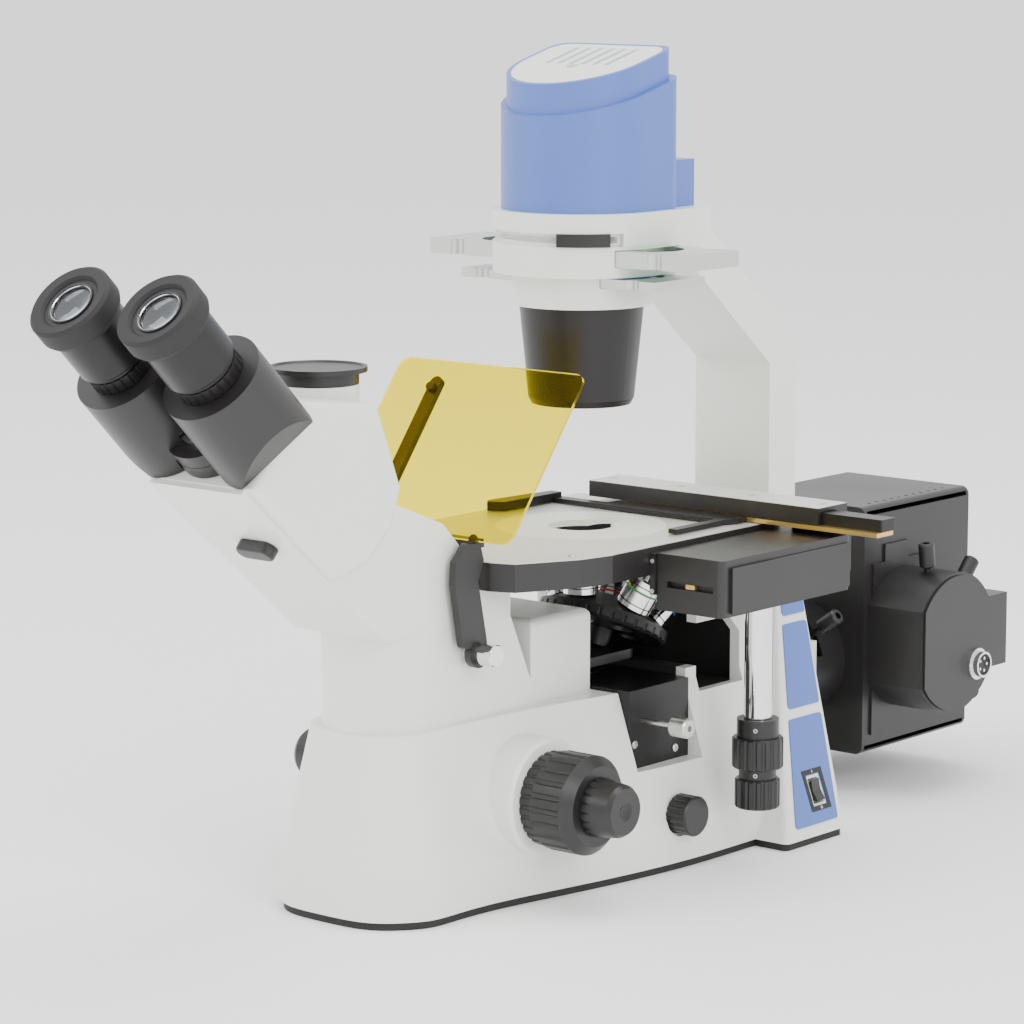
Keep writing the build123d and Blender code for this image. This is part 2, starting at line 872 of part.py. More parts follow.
def tube_arm(side):
    """One tube arm of the binocular: its pivot disc, housing and eyepiece bore."""
    low = slide_gap if side > 0 else disc_thickness + 2 * slide_gap
    other = disc_thickness + 2 * slide_gap if side > 0 else slide_gap
    with BuildPart() as arm:
        with BuildSketch(eye.offset(slide_gap)):
            with Locations((side * arm_offset, 0)):
                Circle(arm_radius)
        extrude(amount=arm_length)
        # the other arm's disc passes through here
        with BuildSketch(eye.offset(other - slide_gap)):
            Circle(disc_radius + 2 * slide_gap)
        extrude(amount=disc_thickness + 2 * slide_gap, mode=Mode.SUBTRACT)
        # flat that meets the other arm when both are folded together
        split(bisect_by=Plane(
            origin=eye.from_local_coords((side * slide_gap, 0, 0)),
            x_dir=eye.z_dir,
            z_dir=eye.x_dir * side * cos(radians(arm_swing)) - eye.y_dir * sin(radians(arm_swing)),
        ), keep=Keep.TOP)
        # outer corner cut away over the shoulder of the head
        outward = eye.x_dir * side * cos(radians(arm_turn)) - eye.y_dir * sin(radians(arm_turn))
        facet = eye.z_dir * cos(radians(arm_facet)) - outward * sin(radians(arm_facet))
        start = eye.from_local_coords((side * arm_offset, 0, slide_gap)) + outward * arm_facet_start
        split(bisect_by=Plane(origin=start, x_dir=eye.x_dir.cross(facet), z_dir=facet), keep=Keep.TOP)
        with BuildSketch(eye.offset(low)):
            Circle(disc_radius)
            with Locations((side * arm_offset / 2, 0)):
                Rectangle(arm_offset, arm_radius)
        extrude(amount=disc_thickness)
        with BuildSketch(eye.offset(low)):
            Circle(spigot_radius + running)
        extrude(amount=disc_thickness, mode=Mode.SUBTRACT)
        with BuildSketch(eye.offset(2 * (disc_thickness + slide_gap))):
            Circle(spigot_radius + spigot_flange + slide_gap)
        extrude(amount=spigot_flange + slide_gap, mode=Mode.SUBTRACT)
        with BuildSketch(eye.offset(arm_length + slide_gap)):
            with Locations((side * arm_offset, 0)):
                Circle(tube_bore)
        extrude(amount=-tube_depth, mode=Mode.SUBTRACT)
    return arm.part


with BuildPart() as arm_right:
    add(tube_arm(1))
save(arm_right, "tube_arm_right")
with BuildPart() as arm_left:
    add(tube_arm(-1))
save(arm_left, "tube_arm_left")


def tube_plane(side):
    """The mouth of one tube arm, facing the user's eye."""
    return Plane(origin=eye.from_local_coords((side * arm_offset, 0, arm_length + slide_gap)),
                 x_dir=eye.x_dir, z_dir=eye.z_dir)


for side, name in ((1, "right"), (-1, "left")):
    mouth = tube_plane(side)
    with BuildPart() as ring:
        add(turned(mouth, (tube_bore, slide_gap), (diopter_radius, slide_gap),
                   (diopter_radius, diopter_height),
                   (tube_bore, diopter_height)))
        add(grip_cuts(mouth, diopter_radius, diopter_height, diopter_ribs, diopter_groove),
            mode=Mode.SUBTRACT)
    save(ring, f"diopter_ring_{name}")
    with BuildPart() as eyepiece:
        foot = tube_clear - tube_depth
        seat = eyepiece_length - eye_relief
        add(turned(mouth, (lens_radius, eyepiece_base), (eyepiece_radius - eyepiece_step, eyepiece_base),
                   (eyepiece_radius - eyepiece_step, eyepiece_base + eyepiece_step),
                   (eyepiece_radius, eyepiece_base + 2 * eyepiece_step), (eyepiece_radius, cup_base),
                   (cup_bore, cup_base), (cup_bore, seat), (lens_radius, seat)))
        add(turned(mouth, (lens_radius, eyepiece_base), (lens_radius, foot), (tube_bore - running, foot),
                   (tube_bore - running, eyepiece_base)))
    save(eyepiece, f"eyepiece_{name}")
    with BuildPart() as eyecup:
        add(turned(mouth, (cup_bore, cup_base), (eyecup_radius - cup_edge, cup_base),
                   (eyecup_radius, cup_base + 2 * cup_edge), (eyecup_radius, eyepiece_length - moulded_edge),
                   (eyecup_radius - moulded_edge, eyepiece_length),
                   (cup_bore + cup_edge, eyepiece_length - soft_edge),
                   (cup_bore, eyepiece_length - 2 * cup_edge)))
    save(eyecup, f"eyecup_{name}")


def d_shape(radius, reach):
    """A round front with straight sides back to a flat rear."""
    with BuildSketch() as section:
        Circle(radius)
        with Locations((0, reach / 2)):
            Rectangle(2 * radius, reach)
    return section.sketch


def d_slab(radius, reach, bottom, height):
    """A slab of that section."""
    with BuildPart() as slab:
        with BuildSketch(Plane.XY.offset(bottom)):
            add(d_shape(radius, reach))
        extrude(amount=height)
    return slab.part


def sloped_slab(radius, reach, bottom, axis_height):
    """A slab whose top slopes up to the rear and has that height on the objective axis."""
    slope = Plane(origin=(0, 0, axis_height), x_dir=(1, 0, 0),
                  z_dir=(0, -sin(radians(lamp_slope)), cos(radians(lamp_slope))))
    with BuildPart() as slab:
        with BuildSketch(Plane.XY.offset(bottom)) as section:
            add(d_shape(radius, reach))
            with Locations((0, reach)):
                Rectangle(2 * radius, 2 * radius, align=(Align.CENTER, Align.MIN), mode=Mode.SUBTRACT)
            fillet(section.vertices().group_by(Axis.Y)[-1], radius=lamp_corner)
        extrude(amount=2 * lamp_top_rise)
        split(bisect_by=slope, keep=Keep.BOTTOM)
    return slab.part


# Pillar with its bent arm
pillar_rear = pillar_front + pillar_depth
with BuildPart() as pillar:
    add(side_shape(pillar_half, (pillar_front, tower_height), (pillar_rear, tower_height),
                   (pillar_rear, pillar_bend + arm_bend_rise), (arm_shoulder, collar_top),
                   (arm_front, collar_top),
                   (arm_front, collar_top - arm_drop), (pillar_front, pillar_bend)))
    fillet(pillar.edges().filter_by(Axis.Z).group_by(Axis.Y)[-1], radius=pillar_round)
save(pillar, "pillar")

# Collar that carries the lamp head, with the slot of the aperture lever
far = 2 * rim_radius
with BuildPart() as collar:
    add(d_slab(rim_radius, arm_front, ring_top, rim_height + neck_height))
    with BuildSketch(Plane.XY.offset(ring_top)):
        with BuildLine():
            Polyline((0, 0), (far, -far * tan(radians(band_end))), (far, -2 * far), (-far, -2 * far),
                     (-far, -far * tan(radians(band_end))), close=True)
        make_face()
        Circle(neck_radius, mode=Mode.SUBTRACT)
    extrude(amount=neck_height, mode=Mode.SUBTRACT)
    with BuildSketch(Plane.XY.offset(ring_top + (neck_height - lever_band) / 2)):
        Circle(rim_radius + soft_edge)
        Circle(neck_radius - slot_depth, mode=Mode.SUBTRACT)
        with Locations((0, rim_radius - rim_radius * sin(radians(band_end)))):
            Rectangle(2 * far, far, mode=Mode.SUBTRACT)
    extrude(amount=lever_band, mode=Mode.SUBTRACT)
    with BuildSketch(Plane.XY.offset(ring_top)):
        Circle(ring_bore)
    extrude(amount=rim_height + neck_height, mode=Mode.SUBTRACT)
save(collar, "lamp_collar")

# Aperture lever, riding in that slot
with BuildPart() as aperture:
    with BuildSketch(Plane.XY.offset(ring_top + (neck_height - lever_band) / 2 + slide_gap)):
        Circle(neck_radius + slide_gap)
        Circle(neck_radius - slot_depth + slide_gap, mode=Mode.SUBTRACT)
        with Locations(Location((0, 0, 0), (0, 0, 1), lever_rest)):
            Rectangle(far, lever_width, align=(Align.MIN, Align.CENTER), mode=Mode.INTERSECT)
    extrude(amount=lever_band - 2 * slide_gap)
    with BuildSketch(Plane.XY.offset(ring_top + slide_gap)):
        Circle(rim_radius + moulded_edge)
        Circle(neck_radius + slide_gap, mode=Mode.SUBTRACT)
        with Locations(Location((0, 0, 0), (0, 0, 1), lever_rest)):
            Rectangle(far, lever_width, align=(Align.MIN, Align.CENTER), mode=Mode.INTERSECT)
    extrude(amount=neck_height - 2 * slide_gap)
save(aperture, "aperture_lever")


def slider_ring(radius, reach, bottom, height, slot_half, slot_thickness, slot_bottom):
    """A ring under the collar with a slot through it for a slider."""
    with BuildPart() as ring:
        add(d_slab(radius, reach, bottom, height))
        with BuildSketch(Plane.XY.offset(bottom)):
            Circle(ring_bore)
        extrude(amount=height, mode=Mode.SUBTRACT)
        add(block((-2 * radius, 2 * radius), (-slot_half - slide_gap, slot_half + slide_gap),
                  (slot_bottom - slide_gap, slot_bottom + slot_thickness + slide_gap)), mode=Mode.SUBTRACT)
    return ring.part


def slider(reach, half, bottom, thickness):
    """A slider with two round openings and thumb notches near its ends."""
    with BuildPart() as plate:
        add(block((-reach, reach), (-half, half), (bottom, bottom + thickness)))
        with BuildSketch(Plane.XY.offset(bottom)):
            with GridLocations(reach * slider_pitch_share, 1, slider_openings, 1):
                Circle(half * slider_opening_share)
        extrude(amount=thickness, mode=Mode.SUBTRACT)
        with BuildSketch(Plane.XY.offset(bottom)):
            with GridLocations(reach * slider_notch_share, 2 * (half + moulded_edge), 2, 2):
                Circle(slider_notch)
        extrude(amount=thickness, mode=Mode.SUBTRACT)
    return plate.part


upper_slider_bottom = ring_top - upper_slider_drop
lower_slider_bottom = lower_ring_top - lower_slider_drop
with BuildPart() as upper_ring:
    add(slider_ring(slider_ring_radius, arm_front, lower_ring_top, slider_ring_height, upper_slider_half,
                    upper_slider_thickness, upper_slider_bottom))
    add(pillar.part, mode=Mode.SUBTRACT)
    add(slider_ring(lower_ring_radius, soft_edge, condenser_top, lower_ring_height, lower_slider_half,
                    lower_slider_thickness, lower_slider_bottom))
save(upper_ring, "slider_rings")
with BuildPart() as upper_slider:
    add(slider(upper_slider_reach, upper_slider_half, upper_slider_bottom, upper_slider_thickness))
save(upper_slider, "upper_slider")
with BuildPart() as lower_slider:
    add(slider(lower_slider_reach, lower_slider_half, lower_slider_bottom, lower_slider_thickness))
save(lower_slider, "lower_slider")

# Long-distance condenser and its lens
with BuildPart() as condenser:
    add(turned(Plane.XY, (condenser_lens_radius, condenser_bottom),
               (condenser_bottom_radius - moulded_edge, condenser_bottom),
               (condenser_bottom_radius, condenser_bottom + condenser_lip),
               (condenser_top_radius, condenser_top),
               (condenser_top_radius - condenser_wall, condenser_top),
               (condenser_bottom_radius - condenser_wall, condenser_bottom + condenser_seat),
               (condenser_lens_radius, condenser_bottom + condenser_seat)))
save(condenser, "condenser_tube")

# Lamp head: shell and vent plate
with BuildPart() as shell:
    add(sloped_slab(lamp_radius, shell_reach, collar_top, collar_top + ledge_rise))
    add(sloped_slab(lamp_radius - lamp_step, shell_reach - lamp_step, collar_top, collar_top + lamp_top_rise))
    add(block((-lamp_hump_half, lamp_hump_half), (0, arm_front), (collar_top, collar_top + lamp_hump_height)))
    inner = lamp_radius - lamp_step - lamp_wall
    add(sloped_slab(inner, shell_reach - lamp_step - lamp_wall, collar_top,
                    collar_top + lamp_top_rise - vent_plate - lamp_wall), mode=Mode.SUBTRACT)
    plate_seat = sloped_slab(inner, shell_reach - lamp_step - lamp_wall, collar_top,
                             collar_top + 2 * lamp_top_rise)
    with BuildPart(mode=Mode.PRIVATE) as under:
        add(sloped_slab(2 * inner, 2 * inner, collar_top, collar_top + lamp_top_rise - vent_plate))
    add(plate_seat.cut(under.part), mode=Mode.SUBTRACT)
save(shell, "lamp_shell")
with BuildPart() as vents:
    add(sloped_slab(inner, shell_reach - lamp_step - lamp_wall, collar_top, collar_top + lamp_top_rise))
    add(under.part, mode=Mode.SUBTRACT)
    with BuildSketch(Plane.XY.offset(collar_top)):
        with Locations((0, vent_y)):
            with GridLocations(vent_pitch, 1, vent_slots, 1):
                SlotOverall(vent_length, vent_width, rotation=90)
        with Locations((0, -vent_y)):
            Circle(vent_width)
    extrude(amount=2 * lamp_top_rise, mode=Mode.SUBTRACT)
save(vents, "vent_plate")


# Stage plate with the opening for the round insert
with BuildPart() as stage:
    with BuildSketch(Plane.XY.offset(stage_bottom)):
        with BuildLine():
            Polyline((0, stage_front), (stage_front_half, stage_front),
                     (stage_front_half + stage_cheek, stage_front + stage_cheek_depth),
                     (stage_half - stage_flank, stage_front + stage_flank_depth),
                     (stage_half, stage_front + stage_side_depth), (stage_half, stage_rear), (0, stage_rear))
            mirror(about=Plane.YZ)
        make_face()
    extrude(amount=stage_thickness)
    fillet(stage.edges().filter_by(Axis.Z).group_by(Axis.Y)[-1], radius=stage_round)
    with BuildSketch(Plane.XY.offset(stage_bottom)):
        Circle(insert_radius - insert_ledge)
    extrude(amount=stage_thickness, mode=Mode.SUBTRACT)
    with BuildSketch(Plane.XY.offset(stage_top - insert_thickness)):
        Circle(insert_radius + running)
    extrude(amount=insert_thickness, mode=Mode.SUBTRACT)
    add(block((stage_half, stage_half + rail_thickness), (drive_front - rail_over, drive_rear + rail_over),
              (stage_top - rail_height - rail_drop, stage_top - rail_drop)))
save(stage, "stage_plate")

# Round stage insert, lifted out to change objectives
with BuildPart() as insert:
    with BuildSketch(Plane.XY.offset(stage_top - insert_thickness)):
        Circle(insert_radius)
        Circle(insert_hole, mode=Mode.SUBTRACT)
        with Locations((0, insert_hole)):
            SlotOverall(insert_notch_length, insert_notch_width, rotation=90, mode=Mode.SUBTRACT)
    extrude(amount=insert_thickness)
    fillet(insert.edges().group_by(Axis.Z)[-1].sort_by(SortBy.LENGTH)[-1], radius=soft_edge / 2)
save(insert, "stage_insert")

# Drive box that runs along the rail on the stage's right edge
drive_right = drive_left + drive_width
with BuildPart() as drive:
    add(block((drive_left, drive_right), (drive_front, drive_rear), (drive_bottom, drive_top)))
    fillet(drive.edges().filter_by(Axis.Z).group_by(Axis.X)[-1], radius=drive_round)
    with BuildSketch(Plane.XY.offset(drive_bottom)):
        with Locations((shaft_x, shaft_y)):
            Circle(sleeve_radius + running)
    extrude(amount=drive_height / 2, mode=Mode.SUBTRACT)
    slot_left = drive_left + stop_slot_inset
    slot_bottom = drive_bottom + stop_slot_rise
    add(block((slot_left, slot_left + stop_slot_length), (drive_front, drive_front + stop_slot_width),
              (slot_bottom, slot_bottom + stop_slot_width)), mode=Mode.SUBTRACT)
    # bracket that carries the cross rail behind the box
    add(block((drive_left + drive_round, drive_right - drive_round),
              (drive_rear, drive_rear + bracket_thickness),
              (drive_top - bracket_drop, bar_bottom)))
with BuildPart() as panel:
    panel_start = drive_front + drive_panel_inset
    add(block((drive_right, drive_right + panel_proud), (panel_start, drive_rear - moulded_edge),
              (drive_bottom + moulded_edge, drive_top - drive_panel_drop)))
    fillet(panel.edges().filter_by(Axis.X), radius=moulded_edge)
    add(block((drive_right + panel_proud, drive_right + 2 * panel_proud),
              (panel_start, panel_start + drive_pad_length),
              (drive_bottom + moulded_edge, drive_top - drive_panel_drop)))
with BuildPart() as drive_group:
    add(drive.part)
    add(panel.part)
save(drive_group, "drive_box")

# Cross rail over the stage
with BuildPart() as bar:
    add(block((bar_left, bar_right), (bar_front, bar_front + bar_depth),
              (bar_bottom, bar_bottom + bar_height)))
    fillet(bar.edges().group_by(Axis.Z)[-1], radius=soft_edge)
    with BuildSketch(Plane.XY.offset(bar_bottom + bar_height)):
        with Locations(((bar_left + bar_right) / 2, bar_front + bar_depth / 2)):
            with GridLocations((bar_right - bar_left - 2 * bar_screw_inset) / (bar_screws - 1), 1, bar_screws,
                               1):
                Circle(bar_screw)
    extrude(amount=-bar_screw_depth, mode=Mode.SUBTRACT)
    add(block((channel_left - x_travel, bar_right),
              (bar_front + channel_inset, bar_front + strip_depth + channel_inset),
              (bar_bottom, bar_bottom + bar_height - channel_inset)), mode=Mode.SUBTRACT)
save(bar, "cross_rail")

# Coaxial shaft in its sleeve, and the two knobs on it
with BuildPart() as sleeve:
    with BuildSketch(Plane.XY.offset(y_knob_top + knob_collar_height + slide_gap)):
        with Locations((shaft_x, shaft_y)):
            Circle(sleeve_radius)
            Circle(shaft_radius + running, mode=Mode.SUBTRACT)
    extrude(until=Until.NEXT, target=drive.part)
save(sleeve, "knob_sleeve")


def stage_knob(radius, bottom, height, collar_radius, collar_height, bore):
    """One ribbed knob of the coaxial pair, with a smooth collar on top."""
    base_plane = Plane(origin=(shaft_x, shaft_y, bottom), x_dir=(1, 0, 0), z_dir=(0, 0, 1))
    with BuildPart() as knob:
        add(turned(base_plane, (bore, 0), (radius - soft_edge, 0), (radius, soft_edge),
                   (radius, height - soft_edge), (radius - soft_edge, height),
                   (collar_radius, height), (collar_radius, height + collar_height),
                   (bore, height + collar_height)))
        add(grip_cuts(base_plane, radius, height, stage_knob_ribs, stage_knob_groove), mode=Mode.SUBTRACT)
    return knob.part


with BuildPart() as y_knob:
    add(stage_knob(y_knob_radius, y_knob_bottom, y_knob_height, y_collar_radius, knob_collar_height,
                   inner_shaft_radius + running))
    add(turned(Plane(origin=(shaft_x, shaft_y, y_knob_top), x_dir=(1, 0, 0), z_dir=(0, 0, 1)),
               (inner_shaft_radius + running, 0), (shaft_radius, 0), (shaft_radius, shaft_top - y_knob_top),
               (inner_shaft_radius + running, shaft_top - y_knob_top)))
save(y_knob, "y_knob")
with BuildPart() as x_knob:
    add(stage_knob(x_knob_radius, knob_bottom, x_knob_height, x_collar_radius,
                   y_knob_bottom - x_knob_top - slide_gap, 0))
    add(turned(Plane(origin=(shaft_x, shaft_y, x_knob_top), x_dir=(1, 0, 0), z_dir=(0, 0, 1)),
               (0, 0), (inner_shaft_radius, 0), (inner_shaft_radius, shaft_top - soft_edge - x_knob_top),
               (0, shaft_top - soft_edge - x_knob_top)))
save(x_knob, "x_knob")

# Specimen holder: brass rack strip under the cross rail, end block and the two arms
strip_bottom = stage_top + strip_clear
strip_top = bar_bottom - slide_gap
with BuildPart() as strip:
    add(block((strip_start, strip_end), (bar_front - strip_proud, bar_front + strip_depth),
              (strip_bottom, strip_top)))
save(strip, "rack_strip")
with BuildPart() as end_block:
    add(block((channel_left, strip_end), (bar_front + channel_inset + slide_gap,
                                           bar_front + strip_depth + channel_inset - slide_gap),
              (strip_top, bar_bottom + bar_height - channel_inset - slide_gap)))
    fillet(end_block.edges().filter_by(Axis.Z), radius=soft_edge)
save(end_block, "rack_end_block")
with BuildPart() as holder:
    with BuildSketch(Plane.XY.offset(strip_bottom)):
        with BuildLine():
            Polyline((holder_left, holder_front + holder_width), (strip_start, holder_front + holder_width),
                     (strip_start, bar_front - strip_proud),
                     (holder_right + holder_step, bar_front - strip_proud),
                     (holder_right + holder_step, holder_front + holder_width), (holder_right, holder_front),
                     (holder_right, holder_front - holder_reach),
                     (holder_right - holder_arm, holder_front - holder_reach),
                     (holder_right - holder_arm, holder_front), (holder_left, holder_front), close=True)
        make_face()
    extrude(amount=strip_height)
with BuildPart() as finger:
    with BuildSketch(Plane.XY.offset(strip_bottom)):
        with BuildLine():
            Polyline((holder_left, holder_front + holder_width), (holder_left, holder_front - holder_reach),
                     (holder_left - finger_tip, holder_front - holder_reach - finger_point),
                     (holder_left - finger_root, holder_front - holder_reach),
                     (holder_left - finger_heel, holder_front + holder_width), close=True)
        make_face()
    extrude(amount=2 * strip_height)
with BuildPart() as holder_group:
    add(holder.part)
    add(finger.part)
save(holder_group, "specimen_holder")

# Nosepiece turret, its cone square to every objective
cone = tan(radians(turret_tilt))
first_seat = Vector(0, 0, seat_height) - turret_plane.origin
seat_out = first_seat.dot(turret_plane.x_dir)
seat_up = first_seat.dot(turret_plane.z_dir)
rim_top = seat_up - (turret_radius - seat_out) * cone
rim_bottom = rim_top - turret_rim
cone_top = seat_up + seat_radius * cone
with BuildPart() as turret:
    add(turned(turret_plane, (turret_pin + running, rim_bottom), (turret_radius - moulded_edge, rim_bottom),
               (turret_radius, rim_bottom + moulded_edge), (turret_radius, rim_top),
               (seat_out - seat_radius, cone_top), (turret_pin + running, cone_top)))
    add(grip_cuts(turret_plane.offset(rim_bottom), turret_radius, turret_rim - moulded_edge, turret_ribs,
                  turret_groove), mode=Mode.SUBTRACT)
    for index in range(objective_count):
        with BuildSketch(seat_plane(index)):
            Circle(light_bore)
        extrude(amount=-2 * turret_rim - seat_radius, mode=Mode.SUBTRACT)
save(turret, "turret")

# Objectives, one on each seat
with BuildPart() as objective_set:
    for index, (length_share, tip_share) in enumerate(objectives):
        length = objective_length * length_share
        tip = objective_radius * tip_share
        barrel = length * barrel_share
        add(turned(seat_plane(index), (objective_bore, 0), (objective_radius - soft_edge, 0),
                   (objective_radius, soft_edge), (objective_radius, barrel),
                   (objective_radius - objective_step, length * shoulder_share),
                   (tip + soft_edge, length * nose_share),
                   (tip, length), (tip - front_rim, length), (objective_throat, barrel),
                   (objective_bore, barrel)))
save(objective_set, "objectives")

# Focusing carriage that carries the turret on its pin
with BuildPart() as carriage:
    add(block((-carriage_half, carriage_half), (block_rear + slide_gap, bulkhead_front - carriage_clear),
              (carriage_bottom, carriage_bottom + carriage_plate)))
    fillet(carriage.edges().filter_by(Axis.Z).group_by(Axis.Y)[-1], radius=carriage_round)
    add(block((-carriage_half, carriage_half), (block_rear + slide_gap,
                                                block_rear + slide_gap + carriage_web),
              (carriage_bottom, carriage_bottom + carriage_height)))
    pin_seat = rim_bottom - slide_gap
    add(turned(turret_plane, (0, pin_seat - pin_foot), (turret_pin + pin_flange, pin_seat - pin_foot),
               (turret_pin + pin_flange, pin_seat), (turret_pin, pin_seat),
               (turret_pin, cone_top - soft_edge),
               (0, cone_top - soft_edge)))
    add(block((-carriage_half, carriage_half), (-turret_radius, 2 * turret_radius), (0, carriage_bottom)),
        mode=Mode.SUBTRACT)
    with BuildSketch(Plane.XY.offset(carriage_bottom)):
        Circle(light_bore)
    extrude(amount=carriage_plate, mode=Mode.SUBTRACT)
save(carriage, "nosepiece_carriage")

# Filter box in the pocket of the base, with its slider
filter_middle = (filter_bottom + filter_top) / 2
with BuildPart() as box:
    add(block((filter_left, filter_reach), (filter_front, filter_rear), (filter_bottom, filter_top)))
    add(block((filter_left + filter_wall, filter_reach - filter_wall),
              (filter_front + filter_wall, filter_rear - filter_wall),
              (filter_bottom + filter_wall, filter_top - filter_wall)), mode=Mode.SUBTRACT)
    with BuildSketch(Plane.XY.offset(filter_top)):
        Circle(box_window)
    extrude(amount=-filter_wall, mode=Mode.SUBTRACT)
    with BuildSketch(Plane.XY.offset(filter_bottom)):
        Circle(box_window)
    extrude(amount=filter_wall, mode=Mode.SUBTRACT)
    with BuildSketch(along_x(filter_reach, rod_y, rod_z)):
        Circle(rod_radius + running)
    extrude(amount=-filter_wall, mode=Mode.SUBTRACT)
    with BuildSketch(Plane(origin=(0, filter_rear, filter_middle), x_dir=(1, 0, 0), z_dir=(0, 1, 0))):
        Circle(box_window)
    extrude(amount=-filter_wall, mode=Mode.SUBTRACT)
save(box, "filter_box")
with BuildPart() as filter_slide:
    inset = filter_wall + slide_gap
    opening = cube_size / 2 - cube_wall
    rod_start = cube_size * 1.5
    add(block((-cube_size / 2, rod_start), (filter_front + inset, filter_rear - inset),
              (filter_bottom + inset, filter_top - inset)))
    for cube_x in (0, cube_size):
        add(block((cube_x - opening, cube_x + opening), (-opening, opening),
                  (filter_bottom + inset, filter_top)),
            mode=Mode.SUBTRACT)
    add(turned(along_x(rod_start, rod_y, rod_z), (0, 0), (rod_radius, 0), (rod_radius, rod_length),
               (0, rod_length)))
    add(turned(along_x(rod_start + rod_length, rod_y, rod_z), (0, 0), (rod_knob_radius - moulded_edge, 0),
               (rod_knob_radius, moulded_edge), (rod_knob_radius, rod_knob_length - soft_edge),
               (rod_knob_radius - soft_edge, rod_knob_length), (rod_radius, rod_knob_length),
               (rod_radius, rod_knob_length - rod_knob_recess), (0, rod_knob_length - rod_knob_recess)))
save(filter_slide, "filter_slider")

# Focus drive: shaft through the base, coarse and fine knobs on both sides, tension ring
ring_end = focus_boss_face + tension_depth
with BuildPart() as coarse:
    for side in (1, -1):
        face = Plane(origin=(side * (ring_end + 2 * slide_gap), focus_y, focus_z), x_dir=(0, 1, 0),
                     z_dir=(side, 0, 0))
        depth = coarse_end - ring_end - 2 * slide_gap
        add(turned(face, (fine_shaft_radius + running, 0), (coarse_radius - soft_edge, 0),
                   (coarse_radius, soft_edge), (coarse_radius, depth - coarse_bevel),
                   (coarse_radius - coarse_bevel, depth), (fine_shaft_radius + running, depth)))
        add(grip_cuts(face, coarse_radius, depth - coarse_bevel - soft_edge, coarse_ribs, coarse_groove),
            mode=Mode.SUBTRACT)
    shaft_end = ring_end + soft_edge
    add(turned(along_x(0, focus_y, focus_z), (fine_shaft_radius + running, -shaft_end),
               (focus_shaft_radius, -shaft_end), (focus_shaft_radius, shaft_end),
               (fine_shaft_radius + running, shaft_end)))
save(coarse, "coarse_knobs")
with BuildPart() as fine:
    for side in (1, -1):
        face = Plane(origin=(side * (coarse_end + slide_gap), focus_y, focus_z), x_dir=(0, 1, 0),
                     z_dir=(side, 0, 0))
        depth = fine_end - coarse_end - slide_gap
        add(turned(face, (0, 0), (fine_radius, 0), (fine_radius - fine_draft, depth - fine_bevel),
                   (fine_radius - 2 * fine_draft, depth), (fine_dish, depth),
                   (fine_dish / 2, depth - 0.75 * fine_dish_depth), (0, depth - fine_dish_depth)))
        add(grip_cuts(face, fine_radius, depth - fine_bevel, fine_ribs, fine_groove), mode=Mode.SUBTRACT)
    shaft_end = coarse_end + soft_edge
    add(turned(along_x(0, focus_y, focus_z), (0, -shaft_end), (fine_shaft_radius, -shaft_end),
               (fine_shaft_radius, shaft_end), (0, shaft_end)))
save(fine, "fine_knobs")
with BuildPart() as tension:
    face = along_x(focus_boss_face + slide_gap, focus_y, focus_z)
    add(turned(face, (focus_shaft_radius + running, 0), (tension_radius, 0), (tension_radius, tension_depth),
               (focus_shaft_radius + running, tension_depth)))
    add(grip_cuts(face, tension_radius, tension_depth, tension_ribs, tension_groove), mode=Mode.SUBTRACT)
save(tension, "tension_ring")

# Brightness knob
with BuildPart() as bright:
    face = along_x(bright_face, bright_y, bright_z)
    add(turned(face, (0, -control_depth), (control_shaft, -control_depth), (control_shaft, 0),
               (bright_radius, 0),
               (bright_radius, bright_length - soft_edge), (bright_radius - soft_edge, bright_length),
               (0, bright_length)))
    add(grip_cuts(face, bright_radius, bright_length - moulded_edge, bright_ribs, bright_groove),
        mode=Mode.SUBTRACT)
save(bright, "brightness_knob")

# Blue side panels on both faces of the tower, and the rocker switch in the right one
with BuildPart() as panels:
    for side in (1, -1):
        for low, high in panel_levels:
            with BuildSketch(face_plane(side)) as outline:
                with BuildLine():
                    Polyline(*[(y, side * up) for y, up in panel_outline(low, high)], close=True)
                make_face()
                fillet(outline.vertices(), radius=panel_corner)
            extrude(amount=panel_thickness)
    with BuildSketch(face_plane(1)):
        with Locations((switch_y, switch_up)):
            Rectangle(switch_width, switch_height)
    extrude(amount=2 * panel_thickness, mode=Mode.SUBTRACT)
save(panels, "side_panels")
pivot = Plane(origin=face_plane(1).from_local_coords((switch_y, switch_up, rocker_pivot)),
              x_dir=face_plane(1).y_dir, z_dir=(0, 1, 0)).rotated((0, 0, rocker_tilt))
with BuildPart() as rocker:
    with BuildSketch(pivot) as rocker_shape:
        with BuildLine():
            half = switch_height / 2 - switch_rim - 3 * slide_gap
            Polyline((-half, rocker_rise), (0, rocker_dip), (half, rocker_rise),
                     (half * rocker_taper, -soft_edge),
                     (-half * rocker_taper, -soft_edge), close=True)
        make_face()
        with BuildSketch(mode=Mode.PRIVATE) as barrel:
            Circle(rocker_barrel)
            Rectangle(3 * rocker_barrel, 2 * rocker_barrel, align=(Align.CENTER, Align.MIN),
                      mode=Mode.SUBTRACT)
        add(barrel.sketch)
    extrude(amount=switch_width / 2 - switch_rim - slide_gap, both=True)
save(rocker, "power_rocker")


